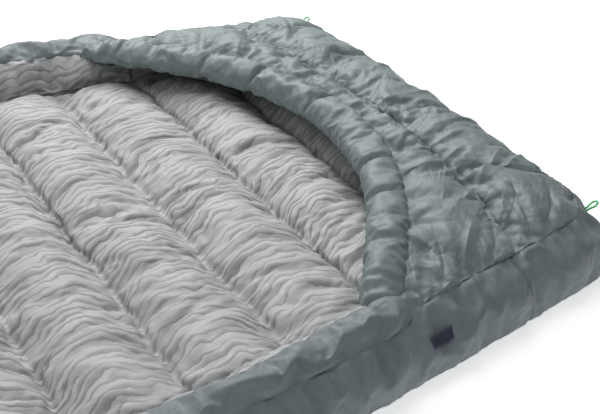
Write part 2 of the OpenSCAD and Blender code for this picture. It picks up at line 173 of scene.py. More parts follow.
def satin(u, v, seed, size=0.085):
    """Crinkled satin: broad pillows, then smaller creases that cross them, fading in and out."""
    h = 0.0085 * puffs(u, v, seed, size, size * 1.15, 1.1, 0.62)
    g = smooth(0.5 + 1.2 * perlin(u / 0.16, v / 0.16, seed + 5))
    h = h + 0.0040 * g * puffs(u + 0.6 * v, v, seed + 2, size * 0.42, size * 1.1, 1.3, 0.6)
    h = h + 0.0034 * (1 - g) * puffs(u - 0.5 * v, v, seed + 3, size * 1.2, size * 0.36, 1.3, 0.6)
    h = h + 0.0013 * puffs(u, v, seed + 4, size * 0.22, size * 0.32, 1.0, 0.7)
    return h - 0.0045

# ------------------------------------------------------------------ mesh helpers
def grid_mesh(name, P, flat=None, extra=None, wrap=False):
    """P: (n, m, 3).  Faces wind so that d/di x d/dj is the outward side."""
    n, m = P.shape[:2]
    co = P.reshape(-1, 3)
    i, j = np.meshgrid(np.arange(n - 1), np.arange(m if wrap else m - 1), indexing="ij")
    j2 = (j + 1) % m
    q = np.stack([i * m + j, (i + 1) * m + j, (i + 1) * m + j2, i * m + j2], -1).reshape(-1, 4)
    me = bpy.data.meshes.new(name)
    me.vertices.add(len(co)); me.vertices.foreach_set("co", co.astype(np.float32).ravel())
    me.loops.add(q.size); me.loops.foreach_set("vertex_index", q.ravel().astype(np.int32))
    me.polygons.add(len(q)); me.polygons.foreach_set("loop_start", (np.arange(len(q)) * 4).astype(np.int32))
    me.polygons.foreach_set("loop_total", np.full(len(q), 4, np.int32))
    me.polygons.foreach_set("use_smooth", np.ones(len(q), bool))
    me.update(calc_edges=True)
    if flat is not None:
        uv = me.uv_layers.new(name="flat")
        F = flat.reshape(-1, 2)
        if wrap:
            # the last strip of a tube runs on past the seam, so its right edge needs its own coordinate
            f = F[q.ravel()].reshape(-1, 4, 2).copy()
            last = (j == m - 1).ravel()
            step = flat[:, 1, 1] - flat[:, 0, 1]
            f[last, 2, 1] = F[q[last, 1]][:, 1] + step.mean()
            f[last, 3, 1] = F[q[last, 0]][:, 1] + step.mean()
            uv.data.foreach_set("uv", f.astype(np.float32).ravel())
        else:
            uv.data.foreach_set("uv", F[q.ravel()].astype(np.float32).ravel())
    for k, v in (extra or {}).items():
        a = me.attributes.new(k, "FLOAT", "POINT")
        a.data.foreach_set("value", np.broadcast_to(v, (n, m)).astype(np.float32).ravel())
    ob = bpy.data.objects.new(name, me)
    S.collection.objects.link(ob)
    return ob

def coords(ob):
    co = np.zeros(len(ob.data.vertices) * 3, np.float32)
    ob.data.vertices.foreach_get("co", co)
    return co.reshape(-1, 3).astype(float)

def set_coords(ob, co):
    ob.data.vertices.foreach_set("co", co.astype(np.float32).ravel())
    ob.data.update()

def normals(ob):
    no = np.zeros(len(ob.data.vertices) * 3, np.float32)
    ob.data.vertices.foreach_get("normal", no)
    return no.reshape(-1, 3).astype(float)

def attr(ob, name):
    v = np.zeros(len(ob.data.vertices), np.float32)
    ob.data.attributes[name].data.foreach_get("value", v)
    return v.astype(float)

def apply_mods(ob):
    bpy.context.view_layer.update()
    dg = bpy.context.evaluated_depsgraph_get()
    me = bpy.data.meshes.new_from_object(ob.evaluated_get(dg), preserve_all_data_layers=True, depsgraph=dg)
    old = ob.data
    ob.modifiers.clear()
    ob.data = me
    bpy.data.meshes.remove(old)
    for p in me.polygons:
        p.use_smooth = True
    return ob

def subdivide(ob, levels=1):
    m = ob.modifiers.new("sub", "SUBSURF")
    m.levels = m.render_levels = levels
    m.boundary_smooth = "PRESERVE_CORNERS"
    m.uv_smooth = "PRESERVE_BOUNDARIES"
    return apply_mods(ob)

def cloth(ob, pin, rest=None, pressure=2.0, frames=16, quality=5, bend=0.25, tension=15, mass=0.12, shrink=0.0, cap=0.03, gravity=0.0):
    """Blender's Cloth on ob, pinned where pin is 1, then applied.  rest is the cut shape of the cloth,
    bigger than the space it is sewn into, so it buckles the way gathered cloth does."""
    t0 = time.time()
    start = coords(ob)
    me = ob.data
    key = None
    if rest is not None:
        ob.shape_key_add(name="Basis")
        k = ob.shape_key_add(name="rest")
        k.data.foreach_set("co", rest.astype(np.float32).ravel())
        k.value = 0.0
    vg = ob.vertex_groups.new(name="pin")
    pin = np.asarray(pin, float).ravel()
    for w in np.unique(np.round(pin, 2)):
        if w > 0:
            vg.add([int(v) for v in np.nonzero(np.abs(pin - w) < 0.006)[0]], float(w), "REPLACE")
    m = ob.modifiers.new("cloth", "CLOTH")
    s = m.settings
    s.quality = quality
    s.mass = mass
    s.tension_stiffness = tension
    s.compression_stiffness = tension
    s.shear_stiffness = tension * 0.4
    s.bending_stiffness = bend
    s.tension_damping = 5
    s.compression_damping = 5
    s.shear_damping = 5
    s.bending_damping = 0.5
    s.air_damping = 2.0
    s.shrink_min = shrink
    s.use_pressure = True
    s.uniform_pressure_force = pressure
    s.use_pressure_volume = False
    s.vertex_group_mass = "pin"
    s.pin_stiffness = 1.0
    s.effector_weights.gravity = gravity
    if rest is not None:
        s.rest_shape_key = ob.data.shape_keys.key_blocks["rest"]
    m.collision_settings.use_collision = False
    m.collision_settings.use_self_collision = False
    m.point_cache.frame_start = 1
    m.point_cache.frame_end = frames
    for f in range(1, frames + 1):
        S.frame_set(f)
    dg = bpy.context.evaluated_depsgraph_get()
    ev = ob.evaluated_get(dg)
    tmp = ev.to_mesh()
    co = np.zeros(len(tmp.vertices) * 3, np.float32)
    tmp.vertices.foreach_get("co", co)
    ev.to_mesh_clear()
    co = co.reshape(-1, 3).astype(float)
    ob.modifiers.clear()
    if rest is not None:
        ob.shape_key_clear()
    ob.vertex_groups.clear()
    S.frame_set(1)
    d = co - start
    bad = ~np.isfinite(d).all(1)
    d[bad] = 0
    l = np.linalg.norm(d, axis=1)
    lim = cap * np.tanh(l / cap) / np.maximum(l, 1e-9)
    set_coords(ob, start + d * lim[:, None])
    print("cloth", ob.name, len(start), "verts, moved mean %.4f max %.4f, %.1f s" % (l.mean(), l.max(), time.time() - t0), flush=True)
    return ob

# ------------------------------------------------------------------ materials
def new_mat(name):
    m = bpy.data.materials.new(name)
    m.use_nodes = True
    nt = m.node_tree
    for n in list(nt.nodes):
        nt.nodes.remove(n)
    out = nt.nodes.new("ShaderNodeOutputMaterial")
    b = nt.nodes.new("ShaderNodeBsdfPrincipled")
    nt.links.new(b.outputs[0], out.inputs[0])
    return m, nt, b

class NT:
    """Short hand for wiring shader nodes."""
    def __init__(self, nt):
        self.nt = nt
    def node(self, kind, **kw):
        n = self.nt.nodes.new(kind)
        for k, v in kw.items():
            setattr(n, k, v)
        return n
    def link(self, a, b):
        self.nt.links.new(a, b)
    def put(self, sock, v):
        if isinstance(v, bpy.types.NodeSocket):
            self.link(v, sock)
        else:
            sock.default_value = v
    def math(self, op, a, b=0.0, c=0.0, clamp=False):
        n = self.node("ShaderNodeMath", operation=op, use_clamp=clamp)
        for k, v in enumerate((a, b, c)):
            if k < len(n.inputs):
                self.put(n.inputs[k], v)
        return n.outputs[0]
    def vmath(self, op, a, b=(0, 0, 0)):
        n = self.node("ShaderNodeVectorMath", operation=op)
        self.put(n.inputs[0], a); self.put(n.inputs[1], b)
        return n.outputs[0]
    def noise(self, vec, scale=5, detail=4, rough=0.5, dist=0.0, kind="FBM"):
        n = self.node("ShaderNodeTexNoise")
        n.noise_dimensions = "3D"
        if hasattr(n, "noise_type"):
            n.noise_type = kind
        self.put(n.inputs["Vector"], vec)
        n.inputs["Scale"].default_value = scale
        n.inputs["Detail"].default_value = detail
        n.inputs["Roughness"].default_value = rough
        n.inputs["Distortion"].default_value = dist
        return n.outputs[0]
    def ramp(self, fac, stops):
        n = self.node("ShaderNodeValToRGB")
        self.put(n.inputs[0], fac)
        el = n.color_ramp.elements
        while len(el) < len(stops):
            el.new(0.5)
        for e, (p, c) in zip(el, stops):
            e.position = p
            e.color = (c[0], c[1], c[2], 1) if len(c) == 3 else c
        return n.outputs[0]
    def maprange(self, v, a, b, c=0.0, d=1.0, kind="LINEAR"):
        n = self.node("ShaderNodeMapRange", interpolation_type=kind)
        n.clamp = True
        self.put(n.inputs["Value"], v)
        n.inputs["From Min"].default_value = a
        n.inputs["From Max"].default_value = b
        n.inputs["To Min"].default_value = c
        n.inputs["To Max"].default_value = d
        return n.outputs[0]
    def mixc(self, fac, a, b, mode="MIX"):
        n = self.node("ShaderNodeMix", data_type="RGBA", blend_type=mode)
        self.put(n.inputs[0], fac)
        ia = [s for s in n.inputs if s.type == "RGBA"]
        for s, v in zip(ia, (a, b)):
            if isinstance(v, tuple) and len(v) == 3:
                v = (*v, 1)
            self.put(s, v)
        return [s for s in n.outputs if s.type == "RGBA"][0]
    def bump(self, h, strength, dist, normal=None):
        n = self.node("ShaderNodeBump")
        n.inputs["Strength"].default_value = strength
        n.inputs["Distance"].default_value = dist
        self.put(n.inputs["Height"], h)
        if normal is not None:
            self.link(normal, n.inputs["Normal"])
        return n.outputs[0]

def flat_vec(t, sx=1.0, sy=1.0):
    uv = t.node("ShaderNodeUVMap", uv_map="flat")
    mp = t.node("ShaderNodeMapping")
    mp.inputs["Scale"].default_value = (sx, sy, 1)
    t.link(uv.outputs[0], mp.inputs["Vector"])
    return mp.outputs[0]

def weave(t, vec, pitch):
    """Plain weave: crossing sine ribs at the thread pitch."""
    sep = t.node("ShaderNodeSeparateXYZ"); t.link(vec, sep.inputs[0])
    k = 2 * math.pi / pitch
    a = t.math("SINE", t.math("MULTIPLY", sep.outputs[0], k))
    b = t.math("SINE", t.math("MULTIPLY", sep.outputs[1], k))
    return t.math("MULTIPLY", a, b)

def stitches(t, pitch=0.0065, off=0.0025, width=0.0009):
    """Dashes of thread that follow the seams; the mesh carries distance to the seam and place along it."""
    d = t.node("ShaderNodeAttribute", attribute_name="seam_d").outputs["Fac"]
    s = t.node("ShaderNodeAttribute", attribute_name="seam_s").outputs["Fac"]
    line = t.math("SUBTRACT", 1.0, t.math("DIVIDE", t.math("ABSOLUTE", t.math("SUBTRACT", d, off)), width), clamp=True)
    dash = t.math("SINE", t.math("MULTIPLY", s, 2 * math.pi / pitch))
    dash = t.maprange(dash, -0.2, 0.2)
    return t.math("MULTIPLY", line, dash)

def shell_mat(name, col, dark, rough=0.50, crinkle=0.6):
    m, nt, b = new_mat(name)
    t = NT(nt)
    v = flat_vec(t)
    # slow change of tone, as downproof nylon takes the light in patches
    n1 = t.noise(v, 9.0, 4, 0.55, 0.4)
    n2 = t.noise(v, 60.0, 3, 0.5)
    c = t.mixc(t.maprange(n1, 0.30, 0.72), dark, col)
    c = t.mixc(t.maprange(n2, 0.35, 0.75, 0.0, 0.18), c, (min(1, col[0] * 1.5), min(1, col[1] * 1.5), min(1, col[2] * 1.5)))
    st = stitches(t)
    c = t.mixc(t.math("MULTIPLY", st, 0.55), c, (dark[0] * 0.45, dark[1] * 0.45, dark[2] * 0.45))
    t.link(c, b.inputs["Base Color"])
    r = t.math("ADD", t.maprange(n1, 0.3, 0.7, rough - 0.05, rough + 0.06), t.math("MULTIPLY", n2, 0.08))
    t.link(r, b.inputs["Roughness"])
    b.inputs["Specular IOR Level"].default_value = 0.58
    b.inputs["Sheen Weight"].default_value = 0.16
    b.inputs["Sheen Roughness"].default_value = 0.35
    b.inputs["Sheen Tint"].default_value = (0.8, 0.9, 0.92, 1)
    # fine creases over the modelled folds, then the weave
    w1 = t.noise(flat_vec(t, 1.0, 0.5), 26.0, 2, 0.5, 1.4, "RIDGED_MULTIFRACTAL")
    w0 = t.noise(flat_vec(t, 0.45, 1.0), 18.0, 2, 0.5, 1.2, "RIDGED_MULTIFRACTAL")
    w2 = t.noise(v, 90.0, 2, 0.5, 0.8)
    sd = t.node("ShaderNodeAttribute", attribute_name="seam_d").outputs["Fac"]
    ss = t.node("ShaderNodeAttribute", attribute_name="seam_s").outputs["Fac"]
    cv = t.node("ShaderNodeCombineXYZ")
    t.link(ss, cv.inputs[0]); t.link(t.math("MULTIPLY", sd, 0.20), cv.inputs[1])
    near = t.maprange(sd, 0.002, 0.085, 1.0, 0.0, "SMOOTHSTEP")
    pk = t.math("MULTIPLY", t.noise(cv.outputs[0], 58.0, 3, 0.55, 0.5, "RIDGED_MULTIFRACTAL"), near)
    zone = t.maprange(t.noise(v, 6.0, 2, 0.5), 0.40, 0.62)
    w1 = t.math("MULTIPLY", w1, t.math("ADD", t.math("MULTIPLY", zone, 0.8), 0.2))
    w0 = t.math("MULTIPLY", w0, t.math("SUBTRACT", 1.0, t.math("MULTIPLY", zone, 0.8)))
    w3 = t.noise(flat_vec(t, 1.0, 0.35), 62.0, 2, 0.5, 1.0, "RIDGED_MULTIFRACTAL")
    nrm = t.bump(w1, 0.70 * crinkle, 0.0034)
    nrm = t.bump(w0, 0.70 * crinkle, 0.0038, nrm)
    nrm = t.bump(pk, 1.0 * crinkle, 0.0036, nrm)
    nrm = t.bump(t.math("MULTIPLY", w3, zone), 0.35 * crinkle, 0.0012, nrm)
    nrm = t.bump(w2, 0.16 * crinkle, 0.0006, nrm)
    nrm = t.bump(weave(t, v, 0.0011), 0.10, 0.0002, nrm)
    nrm = t.bump(st, 0.4, 0.0006, nrm)
    t.link(nrm, b.inputs["Normal"])
    return m

def lining_mat(name):
    m, nt, b = new_mat(name)
    t = NT(nt)
    v = flat_vec(t)
    sep = t.node("ShaderNodeSeparateXYZ"); t.link(v, sep.inputs[0])
    X, Y = sep.outputs[0], sep.outputs[1]
    # wandering strokes that run head to foot: lines across Y whose width swells and fades
    wav = t.noise(flat_vec(t, 1.0, 0.55), 7.5, 2, 0.45)
    wav2 = t.noise(flat_vec(t, 1.0, 0.8), 22.0, 2, 0.5)
    # the strokes arch over each chamber and kink at the sewn rows
    ph = t.math("SINE", t.math("MULTIPLY", t.math("SUBTRACT", X, TRAY_END), math.pi / PITCH))
    arch = t.math("POWER", t.math("ADD", t.math("ABSOLUTE", ph), 0.001), 0.7)
    arch = t.math("MULTIPLY", arch, t.maprange(t.math("ABSOLUTE", Y), 0.79, 0.83, 1.0, 0.25))
    Yw = t.math("SUBTRACT", Y, t.math("MULTIPLY", arch, 0.030))
    yy = t.math("ADD", t.math("DIVIDE", Yw, 0.0225), t.math("MULTIPLY", wav, 4.6))
    yy = t.math("ADD", yy, t.math("MULTIPLY", wav2, 1.5))
    fr = t.math("FRACT", yy)
    row = t.math("FLOOR", yy)
    comb = t.node("ShaderNodeCombineXYZ")
    t.link(t.math("MULTIPLY", X, 1.0), comb.inputs[0]); t.link(t.math("MULTIPLY", row, 3.7), comb.inputs[1])
    swell = t.noise(comb.outputs[0], 9.0, 1, 0.5)
    swell = t.maprange(swell, 0.34, 0.66, 0.05, 0.95)
    edge = t.math("DIVIDE", t.math("SUBTRACT", swell, fr), 0.14)
    stroke = t.maprange(edge, -0.4, 0.6)
    start = t.maprange(fr, 0.0, 0.06)
    stroke = t.math("MULTIPLY", stroke, start)
    # the strokes fade along their width and are made of fine hatching
    fade = t.math("SUBTRACT", 1.0, t.math("MULTIPLY", t.math("DIVIDE", fr, t.math("ADD", swell, 0.05)), 0.80), clamp=True)
    hx = t.math("ADD", t.math("MULTIPLY", X, 900.0), t.math("MULTIPLY", Y, 1300.0))
    hatch = t.maprange(t.math("SINE", hx), -0.6, 0.6, 0.72, 1.0)
    ink = t.math("MULTIPLY", t.math("MULTIPLY", stroke, fade), hatch)
    patch = t.maprange(t.noise(v, 3.2, 2, 0.5), 0.32, 0.62, 0.58, 1.0)
    ink = t.math("MULTIPLY", ink, patch)
    tone = t.noise(v, 5.0, 3, 0.5)
    base = t.mixc(t.maprange(tone, 0.3, 0.7), (0.455, 0.46, 0.462), (0.545, 0.545, 0.54))
    c = t.mixc(ink, base, (0.115, 0.122, 0.125))
    st = stitches(t, 0.0055, 0.0015, 0.001)
    c = t.mixc(t.math("MULTIPLY", st, 0.35), c, (0.30, 0.31, 0.31))
    # painted shade: the lining colour is pulled towards near-black where ambient occlusion finds it hemmed in, under
    # the collar, at the wall feet and in the row valleys
    ao = t.node("ShaderNodeAmbientOcclusion"); ao.samples = 6; ao.inputs["Distance"].default_value = 0.16
    c = t.mixc(t.maprange(ao.outputs["AO"], 0.22, 0.70, 0.60, 0.0), c, (0.07, 0.078, 0.08))
    t.link(c, b.inputs["Base Color"])
    b.inputs["Roughness"].default_value = 0.62
    b.inputs["Specular IOR Level"].default_value = 0.35
    b.inputs["Sheen Weight"].default_value = 0.15
    b.inputs["Sheen Roughness"].default_value = 0.5
    w1 = t.noise(flat_vec(t, 0.45, 1.0), 60.0, 3, 0.55, 0.9)
    w2 = t.noise(v, 170.0, 3, 0.6)
    nrm = t.bump(w1, 0.45, 0.0022)
    nrm = t.bump(w2, 0.25, 0.0006, nrm)
    nrm = t.bump(weave(t, v, 0.0013), 0.12, 0.0002, nrm)
    nrm = t.bump(st, 0.3, 0.0005, nrm)
    t.link(nrm, b.inputs["Normal"])
    return m

def plain_mat(name, col, rough=0.6, noise=60, amp=0.25, bump=0.3, dist=0.001, spec=0.4):
    m, nt, b = new_mat(name)
    t = NT(nt)
    tc = t.node("ShaderNodeTexCoord").outputs["Object"]
    n = t.noise(tc, noise, 4, 0.55)
    c = t.mixc(t.maprange(n, 0.3, 0.7), tuple(x * (1 - amp) for x in col), tuple(min(1, x * (1 + amp)) for x in col))
    t.link(c, b.inputs["Base Color"])
    t.link(t.maprange(n, 0.3, 0.7, rough - 0.06, rough + 0.06), b.inputs["Roughness"])
    b.inputs["Specular IOR Level"].default_value = spec
    t.link(t.bump(t.noise(tc, noise * 6, 3, 0.6), bump, dist), b.inputs["Normal"])
    return m

SHELL = shell_mat("shell_nylon", (0.212, 0.258, 0.254), (0.140, 0.176, 0.175))
# painted shade: the wall panels, crest bands, gussets and seam allowance get a darker, bluer copy of the shell nylon,
# standing in for the shade on walls that face away from the lamps
SHADED_WALL = shell_mat("wall_nylon_painted_shade", (0.178, 0.212, 0.222), (0.122, 0.148, 0.158), 0.50, 0.7)
LINING = lining_mat("printed_lining")

DOWN = plain_mat("white_down", (0.80, 0.79, 0.75), 0.9, 90, 0.12, 0.6, 0.004, 0.1)
MESHM = plain_mat("baffle_mesh", (0.70, 0.71, 0.71), 0.8, 200, 0.15, 0.4, 0.001, 0.2)

def finish_piece(ob, mat):
    if ob.type == "MESH":
        co = coords(ob)
        if co[:, 2].max() > 0.198:
            co[:, 2] = np.where(co[:, 2] > 0.198, 0.198 + (co[:, 2] - 0.198) * 0.5, co[:, 2])
            set_coords(ob, co)
    ob.data.materials.clear()
    ob.data.materials.append(mat)
    return ob

def fold_blend(ob):
    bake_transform(ob)

# ------------------------------------------------------------------ lining: tray floor and inner wall faces
def build_lining():
    xs = np.linspace(-0.980, 0.872, 170)
    nw, nt_ = 15, 138
    # across: near wall crest -> near base seam -> far base seam -> far wall crest
    sw = np.linspace(0, 1, nw + 1)
    st = np.linspace(-1, 1, nt_ + 1)
    m = 2 * nw + nt_ + 1
    P = np.zeros((len(xs), m, 3)); F = np.zeros((len(xs), m, 2))
    seam_d = np.full((len(xs), m), 0.05); seam_s = np.zeros((len(xs), m))
    W = out_y(xs); zc = crest_z(xs); yc = W - inner_in(xs) + 0.006; zi = inner_z(xs) + 0.003
    yb = W - 0.188 - cut(TRAY_END - xs, 0.04)
    zb = 0.034
    head = 1 - smooth((xs + HL - 0.012) / 0.11)
    for i, x in enumerate(xs):
        row = np.minimum.reduce([np.abs(x - r) for r in ROWS])
        ph = math.pi * (x - TRAY_END) / PITCH
        c = abs(math.sin(ph)) ** 0.75
        # wall face, near: sw 0 at crest, 1 at base
        s = sw
        yn = -(yc[i] + (yb[i] - yc[i]) * s)
        zf = zi[i] + (zb - zi[i]) * smooth(s)
        bulge = 0.013 * np.sin(math.pi * s) * (0.45 + 0.55 * c)
        P[i, :nw + 1, 0] = x; P[i, :nw + 1, 1] = yn + bulge * 0.75; P[i, :nw + 1, 2] = zf + bulge * 0.6
        P[i, m - nw - 1:, 0] = x
        P[i, m - nw - 1:, 1] = -(yn + bulge * 0.75)[::-1]
        P[i, m - nw - 1:, 2] = (zf + bulge * 0.6)[::-1]
        y = st * yb[i]
        e = 1 - np.abs(st) ** 10
        z = zb - 0.010 + 0.036 * c * e + 0.010 * (1 - e)
        P[i, nw:m - nw, 0] = x; P[i, nw:m - nw, 1] = y; P[i, nw:m - nw, 2] = z
        ff = np.zeros(m)
        face = 0.125
        ff[:nw + 1] = -yb[i] - face * (1 - s); ff[m - nw - 1:] = (yb[i] + face * (1 - s))[::-1]
        ff[nw:m - nw] = y
        F[i, :, 0] = x; F[i, :, 1] = ff
        db = np.abs(np.abs(ff) - yb[i])
        seam_d[i] = np.minimum(row, db)
        seam_s[i] = np.where(row < db, ff, x)
    h = head[:, None]
    P[:, :, 2] = mix(P[:, :, 2], np.minimum(P[:, :, 2], 0.012 + 0.25 * np.maximum(0, P[:, :, 2] - 0.05)), h)
    # wandering of the sewn rows
    xx, yy = F[:, :, 0], F[:, :, 1]
    near_row = np.exp(-(np.minimum.reduce([np.abs(xx - r) for r in ROWS]) / 0.03) ** 2)
    P[:, :, 0] += (0.006 * perlin(yy * 9, xx * 3, 5) + 0.006 * perlin(yy / 0.045, xx * 3, 6)) * near_row
    # a first hint of the gathers: folds that run along X, strongest at the rows
    arch = 0.030 * np.abs(np.sin(math.pi * (xx - TRAY_END) / PITCH)) ** 0.7
    g = 0.011 * (puffs(yy - arch, xx, 3, 0.060, 0.21, 0.8, 0.6) - 0.45)
    P[:, :, 2] += g * smooth((W[:, None] - np.abs(P[:, :, 1]) - 0.13) / 0.06)
    ob = grid_mesh("lining_sheet", P, F, {"seam_d": seam_d, "seam_s": seam_s})
    rowmask = np.zeros((len(xs), m), bool)
    for r in ROWS:
        k = int(np.argmin(np.abs(xs - r)))
        if abs(xs[k] - r) < 0.012:
            rowmask[k, :] = True
    pin = np.zeros((len(xs), m))
    rr = np.random.RandomState(4)
    st_pin = rr.uniform(size=(len(xs), m)) < 0.72
    pin[rowmask & st_pin] = 1
    pin[:, nw][:] = np.where(rr.uniform(size=len(xs)) < 0.75, 1, 0)
    pin[:, m - nw - 1] = np.where(rr.uniform(size=len(xs)) < 0.75, 1, 0)
    pin[:, 0] = 1; pin[:, -1] = 1; pin[0] = 1; pin[-1] = 1
    cloth(ob, pin, shrink=-0.088, pressure=2.4, frames=18, quality=4, bend=0.05, tension=12, mass=0.10, cap=0.026)
    subdivide(ob)
    co = coords(ob); no = normals(ob)
    uvx, uvy = flat_of(ob)
    sd = attr(ob, "seam_d")
    near = np.exp(-(sd / 0.045) ** 2)
    arch = 0.030 * np.abs(np.sin(math.pi * (uvx - TRAY_END) / PITCH)) ** 0.7
    yw = uvy - arch
    d = 0.0036 * (puffs(yw, uvx, 21, 0.030, 0.115, 1.0, 0.6) - 0.45) * (0.65 + 0.7 * near)
    d += 0.0040 * (puffs(yw + 0.5 * uvx, uvx, 22, 0.022, 0.060, 1.0, 0.6) - 0.45) * (0.40 + 1.2 * near)
    d += 0.0036 * (puffs(yw - 0.9 * uvx, uvx, 26, 0.030, 0.050, 1.0, 0.6) - 0.45) * near
    d += 0.0018 * (puffs(yw - 0.7 * uvx, uvx, 24, 0.045, 0.07, 1.2, 0.6) - 0.45)
    yb = out_y(np.clip(uvx, -0.98, 0.872)) - 0.188 - cut(TRAY_END - np.clip(uvx, -1, 0.872), 0.04)
    d *= 0.80 - 0.30 * smooth((np.abs(uvy) - yb) / 0.02)
    d -= 0.0070 * np.exp(-(sd / 0.009) ** 2) * (0.75 + 0.5 * perlin(uvy / 0.04, uvx / 0.04, 25))
    # welt where the floor is sewn to the side walls
    q = np.abs(uvy) - yb
    d += 0.0060 * np.exp(-((q - 0.010) / 0.006) ** 2) - 0.0070 * np.exp(-((q + 0.003) / 0.007) ** 2)
    co += no * d[:, None]
    co[:, 2] = np.maximum(co[:, 2], 0.0165)
    set_coords(ob, co)
    finish_piece(ob, LINING)
    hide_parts("main_lining", "head_lining", "near_wall_lining", "far_wall_lining", "head_near_wall_lining", "head_far_wall_lining")
    fold_blend(ob)
    end = np.where(uvx > uvx.max() - 1e-5)[0]
    end = end[np.argsort(uvy[end])]
    E = co[end]; R = 26
    s = np.linspace(0, 1, R)[:, None]
    A = np.zeros((R, len(end), 3)); AF = np.zeros((R, len(end), 2))
    up = np.maximum(E[:, 2], 0.109)
    A[:, :, 0] = E[:, 0] + (0.957 - E[:, 0]) * (1 - np.cos(math.pi / 2 * s))
    A[:, :, 1] = E[:, 1] * (1 - 0.02 * s)
    A[:, :, 2] = mix(E[:, 2], up, np.sin(math.pi / 2 * s))
    AF[:, :, 0] = 0.872 + 0.11 * s; AF[:, :, 1] = uvy[end]
    fade = smooth(s / 0.15)
    sw_ = (puffs(AF[:, :, 1], AF[:, :, 0], 28, 0.030, 0.12, 0.9, 0.6) - 0.45)
    A[:, :, 0] -= 0.0050 * sw_ * fade + 0.006 * np.sin(math.pi * s)
    A[:, :, 2] += 0.0020 * sw_ * fade
    fo = grid_mesh("foot_wall_inner_face", A, AF, {"seam_d": 0.001 + 0.11 * s + 0 * AF[:, :, 0], "seam_s": AF[:, :, 1]})
    finish_piece(fo, LINING)
    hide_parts("foot_wall_lining")
    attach(fo, "quilt_main")
    return ob

def flat_of(ob):
    """Per-vertex flat coordinates from the UV layer."""
    me = ob.data
    n = len(me.loops)
    uv = np.zeros(n * 2, np.float32); me.uv_layers["flat"].data.foreach_get("uv", uv)
    vi = np.zeros(n, np.int32); me.loops.foreach_get("vertex_index", vi)
    out = np.zeros((len(me.vertices), 2)); out[vi] = uv.reshape(-1, 2)
    return out[:, 0], out[:, 1]

# ------------------------------------------------------------------ perimeter path
def perimeter(step=0.011):
    """Ground outline from the near head corner, along the near side, round the foot and back up the far side.
    Returns the points and their outward normals."""
    pts = []
    xs = np.arange(-HL + 0.0, HL - 0.09, step)
    near = [(x, -float(half_w(HL - x) - cut(HL + x, 0.08))) for x in xs]
    cx = HL - 0.09; cy = float(half_w(0.09)) - 0.09
    corner = [(cx + 0.09 * math.sin(a), -(cy + 0.09 * math.cos(a))) for a in np.linspace(0, math.pi / 2, int(0.09 * math.pi / 2 / step) + 1)]
    end = [(HL, y) for y in np.linspace(-cy, cy, int(2 * cy / step))][1:-1]
    half = near + corner
    path = half + end + [(x, -y) for x, y in half[::-1]]
    p = np.array(path)
    keep = np.concatenate([[True], np.linalg.norm(np.diff(p, axis=0), axis=1) > step * 0.3])
    p = p[keep]
    t = np.gradient(p, axis=0); t /= np.linalg.norm(t, axis=1)[:, None]
    n = np.stack([t[:, 1], -t[:, 0]], 1)
    return p, n

